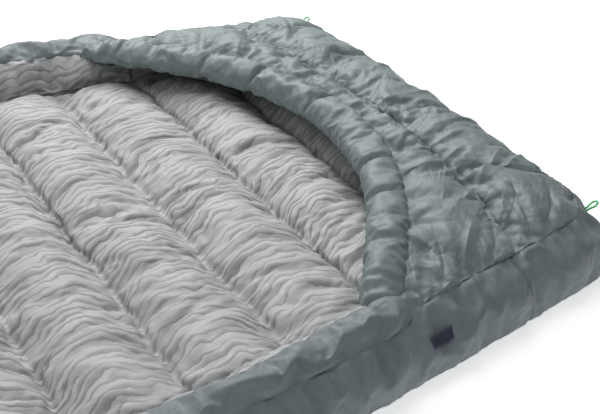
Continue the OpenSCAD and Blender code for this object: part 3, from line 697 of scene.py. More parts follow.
def build_walls():
    """Outer wall: one long panel from the ground line up to the seam, right round the quilt."""
    p, n = perimeter()
    L = np.concatenate([[0], np.cumsum(np.linalg.norm(np.diff(p, axis=0), axis=1))])
    k = 19
    t = np.linspace(0, 1, k)
    side = np.abs(n[:, 1]) ** 1.3 * 0.85 + 0.15
    N = len(p)
    zt = seam_z(p[:, 0])
    it = seam_in(p[:, 0])
    P = np.zeros((N, k, 3)); F = np.zeros((N, k, 2))
    sx = p[:, 0]
    # upper edge: along the pocket seam at the foot, a fixed inset on the long sides
    foot = smooth((sx - 0.30) / 0.12)
    xt = np.where(sx > 0.90, 0.90 + (sx - 0.90) * (TOP_END - 0.90) / (HL - 0.90), sx)
    on_end = np.abs(n[:, 0]) > 0.995
    ye = float(top_y(TOP_END))
    yt = np.where(on_end, p[:, 1] * ye / 0.711, np.sign(p[:, 1]) * top_y(np.minimum(xt, TOP_END)))
    yt = np.clip(yt, -np.maximum(ye, np.abs(yt)), np.maximum(ye, np.abs(yt)))
    tx = mix(p[:, 0] - n[:, 0] * it, np.where(on_end, TOP_END, xt), foot)
    ty = mix(p[:, 1] - n[:, 1] * it, yt, foot)
    ez = mix(1.10, 1.45, foot)
    tackd = np.exp(-((sx - 0.396) / 0.050) ** 2) * (p[:, 1] < 0)
    for j in range(k):
        z = 0.0008 + (zt - 0.0008) * (1 - (1 - t[j]) ** ez)
        w = t[j] ** 2.2
        puff = 0.013 * math.sin(math.pi * min(1, t[j] * 1.02)) ** 0.8
        # the foot of the panel bulges between pinched places, as the ground line does in a puffed edge
        sc = 0.5 + 0.5 * np.cos(L / 0.105 * 2 * np.pi * 0.5 + 1.3 * perlin(L * 3, 0 * L, 8))
        o = puff * (0.65 + 0.5 * sc) * (1 - 0.9 * tackd * smooth((t[j] - 0.25) / 0.3)) - 0.003 * (1 - t[j]) * (1 - sc)
        P[:, j, 0] = mix(p[:, 0], tx, w) + n[:, 0] * o
        P[:, j, 1] = mix(p[:, 1], ty, w) + n[:, 1] * o
        P[:, j, 2] = z + 0.35 * o * t[j] + 0.003 * t[j] ** 6
        F[:, j, 0] = L; F[:, j, 1] = t[j] * 0.13
    sd = np.minimum(F[:, :, 1], 0.13 - F[:, :, 1])
    panels = [0.670]
    for xx in panels:
        sd = np.minimum(sd, np.abs(sx - xx)[:, None] + 0 * sd)
    ob = grid_mesh("wall_panels", P, F, {"seam_d": sd, "seam_s": F[:, :, 0]})
    pin = np.zeros((N, k)); pin[:, 0] = 1; pin[:, -1] = 1; pin[0] = 1; pin[-1] = 1
    for xx in panels:
        for s in (-1, 1):
            i = int(np.argmin(np.abs(sx - xx) + (np.sign(p[:, 1]) != s) * 9))
            pin[i, ::2] = 1
    # a small noise offset along the normals, away from the pinned points
    rr = np.random.RandomState(12)
    co = coords(ob)
    co += normals(ob) * (0.0025 * perlin(F[:, :, 0] / 0.05, F[:, :, 1] / 0.12, 6).ravel() * (1 - pin.ravel()))[:, None]
    set_coords(ob, co)
    cloth(ob, pin, pressure=1.1, frames=20, quality=4, bend=0.05, tension=12, mass=0.10, shrink=-0.09, cap=0.014)
    subdivide(ob)
    co = coords(ob); no = normals(ob)
    u, v = flat_of(ob)
    top = smooth(v / 0.13)
    d = 0.0042 * (puffs(u, v, 41, 0.032, 0.13, 0.8, 0.6) - 0.45) * (0.25 + 1.0 * top)
    d += 0.0030 * (puffs(u + 0.9 * v, v, 43, 0.060, 0.10, 1.2, 0.6) - 0.45) * (0.55 + 0.5 * top)
    d += 0.0020 * (puffs(u - 1.1 * v, v, 44, 0.028, 0.07, 1.2, 0.65) - 0.45)
    d += 0.0012 * (puffs(u, v, 45, 0.016, 0.024, 1.0, 0.7) - 0.45)
    d *= smooth((0.131 - v) / 0.012)
    d -= 0.0016 * np.exp(-(attr(ob, "seam_d") / 0.005) ** 2)
    d -= 0.0050 * np.exp(-((np.abs(co[:, 0] - 0.670)) / 0.006) ** 2) * (np.abs(co[:, 1]) > 0.75)
    d += 0.0030 * (puffs(v, u, 46, 0.020, 0.07, 0.8, 0.6) - 0.45) * np.exp(-((co[:, 0] - 0.670) / 0.06) ** 2)
    rise = 0.0055 * np.exp(-((0.13 - v) / 0.014) ** 2) * smooth((co[:, 0] - 0.36) / 0.08)
    # lies under the tab
    tab = np.exp(-((co[:, 0] - 0.396) / 0.045) ** 4) * (co[:, 1] < 0) * smooth((co[:, 2] - 0.045) / 0.02)
    d = mix(d, -0.002, tab)
    co += no * d[:, None]
    co[:, 2] += rise
    co[:, 2] = np.maximum(co[:, 2], 0.001)
    set_coords(ob, co)
    # seam allowance: the panel turns under and laps the ground sheet
    low = np.where(v < 1e-5)[0]
    low = low[np.argsort(u[low])]
    E = co[low]
    tg = np.gradient(E[:, :2], axis=0)
    tg = np.stack([np.convolve(np.pad(tg[:, i], 12, mode="edge"), np.ones(25) / 25, "valid") for i in (0, 1)], 1)
    tg /= np.linalg.norm(tg, axis=1)[:, None]
    A = np.zeros((len(E), 4, 3)); AF = np.zeros((len(E), 4, 2))
    for j, (o, z) in enumerate(((0.0, None), (0.004, 0.0008), (0.013, 0.0009), (0.022, 0.0010))):
        A[:, j, 0] = E[:, 0] - tg[:, 1] * o; A[:, j, 1] = E[:, 1] + tg[:, 0] * o
        A[:, j, 2] = E[:, 2] if z is None else z
        AF[:, j, 0] = u[low]; AF[:, j, 1] = 0.05 + o
    al = grid_mesh("ground_seam_allowance", A[:, ::-1], AF[:, ::-1], {"seam_d": np.full(A.shape[:2], 0.05), "seam_s": AF[:, ::-1, 0]})
    finish_piece(al, SHADED_WALL)
    fold_blend(al)
    finish_piece(ob, SHADED_WALL)
    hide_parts("near_wall_shell", "far_wall_shell", "foot_wall_shell", "head_near_wall_shell", "head_far_wall_shell")
    fold_blend(ob)
    return ob

def build_bands():
    """Smooth upper band of each side wall, rolled over the crest to the edge of the lining."""
    out = []
    for side, nm in ((-1, "near"), (1, "far")):
        xs = np.arange(-HL + 0.006, 0.405, 0.010)
        W = out_y(xs); zc = crest_z(xs)
        z0 = seam_z(xs); i0 = seam_in(xs); i1 = inner_in(xs); z1 = inner_z(xs)
        full = mix(1 - head_f(xs), 0.35, smooth((xs - 0.30) / 0.10))
        k = 20
        P = np.zeros((len(xs), k, 3)); F = np.zeros((len(xs), k, 2))
        for j in range(k):
            q = j / (k - 1)
            # profile: from the seam, a puffed roll over the crest, down to the lining border
            bulge = math.sin(math.pi * q ** 0.9) ** 0.8
            ins = mix(i0, i1, q) - 0.008 * bulge * (1 - q) * full
            z = mix(z0, z1, q) + 0.036 * bulge * full
            P[:, j, 0] = xs; P[:, j, 1] = side * (W - ins); P[:, j, 2] = z
            F[:, j, 0] = xs; F[:, j, 1] = q * 0.125
        wob = 0.0050 * perlin(F[:, :, 0] * 6, F[:, :, 1] * 8, 61 + side)
        P[:, :, 2] += wob * np.sin(np.linspace(0, math.pi * 0.9, k))[None, :]
        if side > 0:
            P = P[:, ::-1]; F = F[:, ::-1]
        sd = np.minimum(F[:, :, 1], 0.125 - F[:, :, 1])
        ob = grid_mesh("wall_crest_" + nm, P if side < 0 else P, F, {"seam_d": sd, "seam_s": F[:, :, 0]})
        pin = np.zeros(P.shape[:2]); pin[:, 0] = 1; pin[:, -1] = 1; pin[0] = 1; pin[-1] = 1
        cloth(ob, pin, pressure=1.4, frames=18, quality=4, bend=0.06, tension=12, mass=0.10, shrink=-0.07, cap=0.012)
        subdivide(ob)
        co = coords(ob); no = normals(ob)
        u, v = flat_of(ob)
        e = smooth(np.minimum(v, 0.125 - v) / 0.025)
        d = 0.0016 * (puffs(u + 0.4 * v, v, 64 + side, 0.085, 0.11, 1.0, 0.65) - 0.45) + 0.0022 * (puffs(u, v, 67, 0.026, 0.10, 0.9, 0.65) - 0.45) * (1 - 0.6 * e)
        d += 0.0010 * (puffs(u, v, 68, 0.014, 0.03, 0.9, 0.7) - 0.45)
        co += no * (d * (0.15 + 0.85 * e))[:, None]
        set_coords(ob, co)
        finish_piece(ob, SHADED_WALL)
        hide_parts(nm + "_wall_hem", "head_" + nm + "_wall_hem")
        fold_blend(ob)
        out.append(ob)
    return out

def build_base():
    """Ground sheet: flat under its own weight, drawn in a little under each sewn row."""
    xs = np.arange(-HL, HL + 1e-6, 0.0165)
    st = np.linspace(-1, 1, 110)
    W = out_y(np.clip(xs, -HL + 1e-4, HL - 1e-4))
    P = np.zeros((len(xs), len(st), 3)); F = np.zeros((len(xs), len(st), 2))
    P[:, :, 0] = np.clip(xs, -HL + 0.003, HL - 0.010)[:, None]; P[:, :, 1] = (W - 0.012)[:, None] * st[None, :]
    P[:, :, 2] = 0.0015
    F[:, :, 0] = xs[:, None]; F[:, :, 1] = P[:, :, 1]
    rowd = np.minimum.reduce([np.abs(F[:, :, 0] - r) for r in ROWS])
    sd = np.minimum(rowd, 1.0)
    inner = smooth((W[:, None] - np.abs(P[:, :, 1])) / 0.05)
    P[:, :, 2] += 0.005 * np.exp(-(rowd / 0.020) ** 2) * inner
    P[:, :, 2] += (0.0015 + 0.0015 * perlin(P[:, :, 1] / 0.045, P[:, :, 0] / 0.13, 90)) * inner
    P = P[:, ::-1]; F = F[:, ::-1]; sd = sd[:, ::-1]
    ob = grid_mesh("ground_sheet", P, F, {"seam_d": sd, "seam_s": F[:, :, 1]})
    subdivide(ob)
    finish_piece(ob, SHELL)
    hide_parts("base_shell", "head_base_shell")
    fold_blend(ob)
    return ob

# ------------------------------------------------------------------ foot pocket
def seam_x(v):
    return COLLAR_X - ARC * np.abs(v) ** 2.2 - 0.040 * smooth((v - 0.55) / 0.45)

TOP_END = HL - 0.002
def top_y(x):
    return half_w(HL - x) - 0.085 - cut(TOP_END - x, 0.12)

def row_x(v):
    return 0.790 - 0.100 * np.abs(v) ** 2

def dome(x, v, u):
    h = 0.048 + 0.013 * (1 - u)
    e = (1 - np.clip((x - TOP_END + 0.095) / 0.095, 0, 1) ** 2) ** 0.60
    s = (1 - np.clip(np.abs(v), 0, 1) ** 5) ** 0.70
    return h * e * s

def collar_z(v):
    """Height of the seam between the pocket top and the collar."""
    return PZ + 0.037 * (1 - np.clip(np.abs(v), 0, 1) ** 6) ** 0.6

def pocket_pt(u, v):
    x = seam_x(v) + u * (TOP_END - seam_x(v))
    z = PZ + dome(x, v, u)
    # the cloth comes down into the collar seam and puffs up on either side of it
    return x, v * top_y(x), mix(collar_z(v) + 0.004, z, smooth(u * (TOP_END - seam_x(v)) / 0.045))

def pocket_weight(co):
    """Weight for each point of the pocket top: none at the side and foot seams."""
    x, y = co[:, 0], co[:, 1]
    edge = np.maximum(0, half_w(HL - x) - 0.03 - np.abs(y))
    return smooth(edge / 0.42) * smooth((HL - x) / 0.10)

def pocket_blend(ob):
    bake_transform(ob)
    w = pocket_weight(coords(ob))

# long folds of the pocket top, as start and end on the flat, half width and height
FOLDS = [
    (0.495, -0.579, 0.517, -0.775, 0.016, 0.010), (0.592, -0.384, 0.765, -0.414, 0.014, 0.008),
    (0.680, -0.308, 0.911, -0.327, 0.013, 0.007), (0.601, -0.635, 0.943, -0.393, 0.015, 0.006),
    (0.718, -0.606, 0.618, -0.774, 0.012, -0.008), (0.832, -0.579, 0.742, -0.749, 0.012, -0.008),
    (0.766, -0.607, 0.679, -0.766, 0.012, 0.008), (0.470, -0.661, 0.400, -0.810, 0.013, 0.009),
    (0.548, -0.634, 0.456, -0.800, 0.014, -0.009), (0.788, 0.146, 0.781, -0.169, 0.014, -0.007),
    (0.804, -0.013, 0.736, -0.212, 0.012, 0.007), (0.773, -0.413, 0.771, -0.529, 0.012, -0.008),
    (0.714, -0.026, 0.796, -0.124, 0.011, -0.008), (0.824, 0.438, 0.895, 0.289, 0.014, 0.007),
    (0.704, 0.463, 0.762, 0.215, 0.014, -0.007), (0.677, -0.387, 0.845, -0.393, 0.012, 0.007),
    (0.891, -0.615, 0.816, -0.735, 0.012, -0.007), (0.618, -0.674, 0.539, -0.790, 0.013, 0.008),
]

def fold_lines(x, y, folds):
    """Sharp-crested folds along lines, with a soft trough beside each."""
    h = np.zeros_like(x)
    for x0, y0, x1, y1, w, a in folds:
        dx, dy = x1 - x0, y1 - y0
        L = math.hypot(dx, dy); dx /= L; dy /= L
        t = ((x - x0) * dx + (y - y0) * dy) / L
        q = -(x - x0) * dy + (y - y0) * dx + 0.010 * np.sin(3.0 * t + 40 * x0)
        m = (t > -0.15) & (t < 1.15) & (np.abs(q) < 5 * w)
        tt = np.clip(t[m], 0, 1); s = q[m] / w
        along = smooth((t[m] + 0.15) / 0.35) * smooth((1.15 - t[m]) / 0.45)
        h[m] += a * along * (np.exp(-np.abs(s) * 1.25) - 0.55 * np.exp(-((s - 1.9) / 1.1) ** 2))
    return h

def build_pocket():
    nu, nv = 96, 236
    us = np.linspace(0, 1, nu)
    us = us + 0.10 * np.sin(us * math.pi) * us * 0.6
    vs = np.linspace(-1, 1, nv)
    vs = 0.55 * np.sin(vs * math.pi / 2) + 0.45 * vs
    U, V = np.meshgrid(us, vs, indexing="ij")
    X, Y, Z = pocket_pt(U, V)
    P = np.stack([X, Y, Z], -1)
    F = np.stack([X, Y], -1)
    rd = np.abs(X - row_x(V))
    Z2 = Z - 0.020 * np.exp(-(rd / 0.020) ** 2) * smooth((1 - np.abs(V)) / 0.12)
    # chambers crown between the row and the seams
    P[:, :, 2] = Z2
    _, _, nr = arc_frame(vs)
    for i, (o, dz) in enumerate(((0.016, 0.010), (0.007, 0.003))):
        P[i, :, 0] -= nr[:, 0] * o; P[i, :, 1] -= nr[:, 1] * o; P[i, :, 2] -= dz
    side_d = (1 - np.abs(V)) * top_y(X)
    sd = np.minimum.reduce([rd, np.abs(X - seam_x(V)), side_d, TOP_END - X])
    ss = np.where((rd < side_d) & (rd < TOP_END - X), Y, X)
    ob = grid_mesh("pocket_top_shell", P, F, {"seam_d": sd, "seam_s": ss})
    pin = np.zeros((nu, nv)); pin[0] = 1; pin[-1] = 1; pin[:, 0] = 1; pin[:, -1] = 1
    rr = np.random.RandomState(2)
    for j in range(0, nv):
        i = int(np.argmin(rd[:, j]))
        if rr.uniform() < 0.34 and abs(V[0, j]) < 0.93:
            pin[i, j] = 1
    co = coords(ob)
    wr = 0.006 * perlin((Y + 0.35 * X) / 0.12, X / 0.16, 71) + 0.005 * perlin((X - 0.3 * Y) / 0.11, Y / 0.2, 72)
    co[:, 2] += (wr * (1 - pin)).ravel()
    set_coords(ob, co)
    cloth(ob, pin, pressure=2.5, frames=22, quality=5, bend=0.05, tension=12, mass=0.10, shrink=-0.075, cap=0.028)
    subdivide(ob)
    co = coords(ob); no = normals(ob)
    x, y = flat_of(ob)
    sdv = attr(ob, "seam_d")
    near = np.exp(-(sdv / 0.06) ** 2)
    d = 0.26 * satin(y, x, 73, 0.095) + 1.0 * fold_lines(x, y, FOLDS)
    rr = np.random.RandomState(21)
    more = []
    for k in range(44):
        vk = rr.uniform(-0.9, 0.9); uk = rr.uniform(0.08, 0.85)
        px = float(seam_x(vk) + uk * (TOP_END - seam_x(vk))); py = vk * float(top_y(px))
        an = rr.uniform(-0.5, 0.5) + (math.pi / 2 if abs(vk) > 0.72 else 0.0)
        ln = rr.uniform(0.05, 0.11)
        more.append((px - ln * math.cos(an), py - ln * math.sin(an), px + ln * math.cos(an), py + ln * math.sin(an), rr.uniform(0.007, 0.013), rr.choice([-1, 1]) * rr.uniform(0.003, 0.006)))
    d += fold_lines(x, y, more)
    # pulled folds that run square to the seams and fade within a hand's width
    d += 0.0030 * (puffs(y + 0.25 * x, x, 77, 0.026, 0.16, 0.9, 0.5) - 0.45) * np.exp(-(sdv / 0.055) ** 2)
    side = top_y(x) - np.abs(y)
    d += 0.0042 * (puffs(x + 0.35 * np.abs(y), y, 74, 0.030, 0.20, 0.9, 0.5) - 0.45) * np.exp(-(side / 0.17) ** 2)
    gath = smooth(0.45 + 1.3 * perlin(x / 0.12 + 5, y / 0.12, 87))
    d += 0.0022 * (puffs(y + 0.7 * x, x, 78, 0.017, 0.075, 1.2, 0.5) - 0.5) * gath
    d += 0.0020 * (puffs(x - 0.9 * y, y, 76, 0.016, 0.080, 1.2, 0.5) - 0.5) * (1 - gath) * smooth(0.5 + 1.2 * perlin(x / 0.2, y / 0.2 + 3, 88))
    # creases that fan out from the tacks along the row
    for k, vk in enumerate(np.arange(-0.90, 0.91, 0.115)):
        vk = vk + 0.02 * math.sin(k * 2.3)
        xk = float(row_x(vk)); yk = vk * float(top_y(xk))
        r = np.hypot(x - xk, y - yk); th = np.arctan2(y - yk, x - xk)
        ok = r < 0.16
        fan = np.abs(np.sin(th[ok] * 3.5 + k * 1.7 + 0.8 * perlin(r[ok] / 0.05, th[ok], 80 + k))) ** 0.6 - 0.6
        d[ok] += 0.0034 * fan * np.exp(-(r[ok] / 0.065) ** 2) * smooth(r[ok] / 0.012) - 0.005 * np.exp(-(r[ok] / 0.016) ** 2)
    # crumpled facets with sharp borders, as crisp nylon folds
    fc = crumple(x + 0.3 * y, y, 95, 0.075)
    d += 0.0020 * fc * smooth(0.55 + 1.1 * perlin(x / 0.17 + 2, y / 0.17, 96)) * smooth(sdv / 0.03)
    edge = smooth(np.minimum.reduce([np.abs(x - seam_x(np.clip(y / top_y(x), -1, 1))), top_y(x) - np.abs(y), TOP_END - x]) / 0.020)
    d *= 0.25 + 0.75 * edge
    d -= 0.0012 * np.exp(-(sdv / 0.006) ** 2)
    co += no * d[:, None]
    co[:, 2] += 0.0055 * np.exp(-(np.minimum(side, TOP_END - x) / 0.014) ** 2) * smooth((co[:, 0] - 0.36) / 0.08)
    set_coords(ob, co)
    finish_piece(ob, SHELL)
    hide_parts("pocket_shell")
    pocket_blend(ob)
    return ob

def arc_frame(v):
    """Seam point, direction along the arc and the outward normal (towards the foot)."""
    e = 0.002
    def pt(q):
        x = seam_x(q)
        return np.stack([x, q * top_y(x)], -1)
    a, b = pt(v - e), pt(v + e)
    d = (b - a) / np.linalg.norm(b - a, axis=-1)[..., None]
    return pt(v), d, np.stack([d[..., 1], -d[..., 0]], -1)

PINCH = [-0.955, -0.80, -0.60, -0.41, 0.09, 0.42, 0.63, 0.80, 0.955]

def build_collar():
    n, m = 300, 36
    v = np.linspace(-0.985, 0.985, n)
    sp, d, nr = arc_frame(v)
    L = np.concatenate([[0], np.cumsum(np.linalg.norm(np.diff(sp, axis=0), axis=1))])
    pin_amt = np.zeros(n)
    for q in PINCH:
        pin_amt += np.exp(-((v - q) / 0.016) ** 2)
    pin_amt = np.clip(pin_amt, 0, 1)
    fan = sum(np.exp(-((v - q) / 0.007) ** 2) for q in (0.885, 0.912, 0.938)) + 0.6 * np.exp(-((v + 0.93) / 0.008) ** 2)
    endt = 0.86 + 0.14 * smooth((0.99 - np.abs(v)) / 0.05)
    tip = np.sqrt(np.clip(1 - (np.clip((np.abs(v) - 0.962) / 0.0235, 0, 1)) ** 2, 0.02, 1))
    wdt = 0.098 * endt * (1 - 0.05 * pin_amt)
    h_up = 0.034 * endt * (1 - 0.45 * pin_amt) * (1 - 0.45 * np.clip(fan, 0, 1)) + 0.010 * np.abs(v) ** 4
    h_dn = 0.026 * endt * (1 - 0.30 * pin_amt)
    sp = sp + nr * 0.007
    h_up = h_up * tip; h_dn = h_dn * tip
    zs = collar_z(v) - 0.001; ze = 0.136 - 0.004 * np.abs(v) ** 4
    ang = np.linspace(0, 2 * math.pi, m, endpoint=False)
    P = np.zeros((n, m, 3)); F = np.zeros((n, m, 2))
    for j, w in enumerate(ang):
        # w = 0 at the pocket seam, over the top to the opening edge at pi, and back underneath
        ca, sa = math.cos(w), math.sin(w)
        f = (1 - ca) / 2
        up = max(0, sa) ** 0.85; dn = max(0, -sa) ** 0.85
        P[:, j, 0] = sp[:, 0] - nr[:, 0] * (wdt * f + 0.010 * up * endt)
        P[:, j, 1] = sp[:, 1] - nr[:, 1] * (wdt * f + 0.010 * up * endt)
        P[:, j, 2] = mix(zs, ze, f) + h_up * up - h_dn * dn
        F[:, j, 0] = L; F[:, j, 1] = w / (2 * math.pi) * 0.27
    mid = P.mean(axis=1, keepdims=True)
    ins = np.abs(v) < 0.93
    D = (mid + (P - mid) * 0.55)[ins][::2, ::2]
    for e in (0, -1):
        D[e] = D[e].mean(axis=0)
    down = grid_mesh("down_in_collar", D[:, ::-1], F[ins][::2, ::2], wrap=True)
    finish_piece(down, DOWN)
    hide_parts("collar_down")
    pocket_blend(down)
    seam0 = np.minimum(F[:, :, 1], 0.27 - F[:, :, 1]); seam1 = np.abs(F[:, :, 1] - 0.135)
    sd = np.minimum(seam0, seam1)
    P = P[:, ::-1]; F = F[:, ::-1]; sd = sd[:, ::-1]
    ob = grid_mesh("collar_roll", P, F, {"seam_d": sd, "seam_s": F[:, :, 0]}, wrap=True)
    pin = np.zeros((n, m))
    rr = np.random.RandomState(7)
    j0 = m - 1; j1 = m - 1 - m // 2
    pin[:, j0] = 1
    pin[:, j1] = np.where(rr.uniform(size=n) < 0.8, 1, 0)
    pin[0] = 1; pin[-1] = 1
    for q in PINCH:
        i = int(np.argmin(np.abs(v - q)))
        pin[i, ::2] = 1
    co = coords(ob); no = normals(ob)
    wr = 0.0020 * perlin(F[:, :, 0] / 0.030, F[:, :, 1] / 0.08, 81)
    co += no * (wr.ravel() * (1 - pin.ravel()))[:, None]
    set_coords(ob, co)
    cloth(ob, pin, pressure=1.5, frames=20, quality=5, bend=0.06, tension=12, mass=0.10, shrink=-0.09, cap=0.018)
    subdivide(ob)
    co = coords(ob); no = normals(ob)
    u, w = flat_of(ob)
    sdv = attr(ob, "seam_d")
    near = np.exp(-(sdv / 0.035) ** 2)
    pa = np.zeros(len(u))
    vv = np.interp(u, L, v)
    for q in PINCH:
        pa += np.exp(-((vv - q) / 0.035) ** 2)
    dd = 0.0030 * (puffs(u, w, 83, 0.022, 0.075, 0.8, 0.6) - 0.45) * near
    dd += 0.0026 * (puffs(u, w, 84, 0.026, 0.09, 0.8, 0.6) - 0.45) * np.clip(pa, 0, 1)
    dd += 0.0012 * (puffs(u - 0.6 * w, w, 86, 0.030, 0.06, 1.1, 0.6) - 0.45)
    dd *= 0.3 + 0.7 * smooth(np.minimum(w, 0.27 - w) / 0.02)
    co += no * dd[:, None]
    set_coords(ob, co)
    finish_piece(ob, SHELL)
    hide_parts("collar_shell", "collar_elastic")
    pocket_blend(ob)
    return ob

def build_ceiling():
    """Lining side of the pocket top, and the strip that turns down under the collar."""
    nu, nv = 40, 120
    U, V = np.meshgrid(np.linspace(-0.085, 1, nu), np.linspace(-0.95, 0.95, nv), indexing="ij")
    sp, d, nr = arc_frame(V)
    x = sp[..., 0] + np.clip(U, 0, 1) * (TOP_END - 0.012 - sp[..., 0])
    y = V * (top_y(x) - 0.010)
    o = np.clip(-U, 0, 1) / 0.085
    x = x - nr[..., 0] * 0.076 * o; y = y - nr[..., 1] * 0.076 * o
    z = PZ - 0.020 + 0.42 * dome(np.clip(x, 0, TOP_END - 0.012), V, np.clip(U, 0, 1)) - 0.016 * o * (1 - np.abs(V) ** 4)
    z += 0.003 * perlin(y / 0.03, x / 0.1, 91)
    P = np.stack([x, y, z], -1)[:, ::-1]
    F = np.stack([x, y], -1)[:, ::-1]
    sd = np.full(F.shape[:2], 0.05)
    ob = grid_mesh("pocket_ceiling", P, F, {"seam_d": sd, "seam_s": F[:, :, 0]})
    subdivide(ob)
    finish_piece(ob, LINING)
    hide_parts("pocket_lining", "pocket_edge")
    pocket_blend(ob)
    return ob

def inner_piece(name, nodes, mat, kind, puff=0.0, drop=None):
    vs, fs, off = [], [], 0
    for nname in nodes:
        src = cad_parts[nname].data
        co = np.zeros(len(src.vertices) * 3, np.float32); src.vertices.foreach_get("co", co)
        co = co.reshape(-1, 3)
        vs.append(co)
        fs += [[v + off for v in p.vertices] for p in src.polygons]
        off += len(co)
    co = np.concatenate(vs).astype(float)
    if drop is not None:
        co = drop(co)
    me = bpy.data.meshes.new(name)
    me.from_pydata(co.tolist(), [], fs)
    me.update()
    ob = bpy.data.objects.new(name, me)
    S.collection.objects.link(ob)
    bm = bmesh.new(); bm.from_mesh(me)
    bmesh.ops.remove_doubles(bm, verts=bm.verts, dist=1e-5)
    # cut across the piece every 22 mm from x = -0.60 to -0.13
    if kind == "fold":
        # cut across so that the piece bends with the fold instead of spanning it
        for xc in np.arange(-0.60, -0.13, 0.022):
            bmesh.ops.bisect_plane(bm, geom=bm.verts[:] + bm.edges[:] + bm.faces[:], dist=1e-6, plane_co=(float(xc), 0, 0), plane_no=(1, 0, 0))
    bm.to_mesh(me); bm.free()
    if puff:
        m = ob.modifiers.new("sub", "SUBSURF"); m.subdivision_type = "SIMPLE"; m.levels = m.render_levels = 1
        apply_mods(ob)
        co = coords(ob); no = normals(ob)
        co += no * (puff * (fbm(co[:, 0] / 0.05, co[:, 1] / 0.05, 101, 3) - 0.4))[:, None]
        set_coords(ob, co)
    finish_piece(ob, mat)
    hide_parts(*nodes)
    if kind == "fold":
        fold_blend(ob)
    elif kind == "pocket":
        pocket_blend(ob)
    return ob

# ------------------------------------------------------------------ loops, tab, hem
def tube(name, pts, r, mat, seg=10, closed=False, wob=0.0):
    pts = [Vector(p) for p in pts]
    cu = bpy.data.curves.new(name, "CURVE")
    cu.dimensions = "3D"
    sp = cu.splines.new("POLY")
    sp.points.add(len(pts) - 1)
    for k, p in enumerate(pts):
        sp.points[k].co = (*p, 1)
    sp.use_cyclic_u = closed
    cu.bevel_depth = r
    cu.bevel_resolution = 4
    cu.use_fill_caps = True
    ob = bpy.data.objects.new(name + "_c", cu)
    S.collection.objects.link(ob)
    bpy.context.view_layer.update()
    dg = bpy.context.evaluated_depsgraph_get()
    me = bpy.data.meshes.new_from_object(ob.evaluated_get(dg))
    me.name = name
    bpy.data.objects.remove(ob)
    o2 = bpy.data.objects.new(name, me)
    S.collection.objects.link(o2)
    for p in me.polygons:
        p.use_smooth = True
    me.materials.clear(); me.materials.append(mat)
    return o2

def cord_mat():
    m, nt, b = new_mat("green_braid")
    t = NT(nt)
    tc = t.node("ShaderNodeTexCoord").outputs["Object"]
    w = t.node("ShaderNodeTexWave", wave_type="BANDS", bands_direction="DIAGONAL")
    t.link(tc, w.inputs["Vector"]); w.inputs["Scale"].default_value = 260; w.inputs["Distortion"].default_value = 1.0
    c = t.mixc(w.outputs[1], (0.02, 0.34, 0.09), (0.08, 0.76, 0.26))
    t.link(c, b.inputs["Base Color"])
    b.inputs["Roughness"].default_value = 0.5
    t.link(t.bump(w.outputs[1], 0.6, 0.0006), b.inputs["Normal"])
    return m
CORD = cord_mat()

def build_loop(side, nm):
    base = Vector((0.988, side * 0.690, 0.120))
    az = math.radians(20 * side); el = math.radians(35)
    f = Vector((math.cos(el) * math.cos(az), math.cos(el) * math.sin(az), math.sin(el)))
    r = Vector((-math.sin(az), math.cos(az), 0))
    pts = []
    leg, rad = 0.012, 0.0094
    pts.append(base - f * 0.010 + r * 0.0045)
    pts.append(base + r * 0.0055)
    for a in np.linspace(-90, 90, 22):
        ca, sa = math.cos(math.radians(a)), math.sin(math.radians(a))
        pts.append(base + f * (leg + rad * 1.25 * ca) - r * (rad * sa))
    pts.append(base - r * 0.0055)
    pts.append(base - f * 0.010 - r * 0.0045)
    ob = tube(nm + "_loop_cord", pts, 0.0027, CORD)
    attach(ob, nm + "_foot_loop")
    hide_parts(nm + "_foot_loop")
    return ob

def tab_mat():
    m, nt, b = new_mat("tab_weave")
    t = NT(nt)
    tc = t.node("ShaderNodeTexCoord").outputs["Object"]
    n = t.noise(tc, 900, 2, 0.5)
    c = t.mixc(n, (0.010, 0.012, 0.022), (0.035, 0.042, 0.070))
    t.link(c, b.inputs["Base Color"])
    b.inputs["Roughness"].default_value = 0.6
    uv = t.node("ShaderNodeUVMap", uv_map="flat"); sp = t.node("ShaderNodeSeparateXYZ"); t.link(uv.outputs[0], sp.inputs[0])
    ax = t.math("SUBTRACT", 0.034, t.math("ABSOLUTE", sp.outputs[0]))
    ay = t.math("SUBTRACT", 0.0135, t.math("ABSOLUTE", t.math("SUBTRACT", sp.outputs[1], 0.0135)))
    rim = t.math("MINIMUM", ax, ay)
    line = t.math("SUBTRACT", 1.0, t.math("DIVIDE", t.math("ABSOLUTE", t.math("SUBTRACT", rim, 0.0024)), 0.0007), clamp=True)
    c = t.mixc(t.math("MULTIPLY", line, 0.8), c, (0.16, 0.18, 0.22))
    t.link(c, b.inputs["Base Color"])
    w = t.node("ShaderNodeTexWave", wave_type="BANDS", bands_direction="X"); t.link(tc, w.inputs["Vector"]); w.inputs["Scale"].default_value = 700
    t.link(t.bump(w.outputs[1], 0.5, 0.0003), b.inputs["Normal"])
    return m

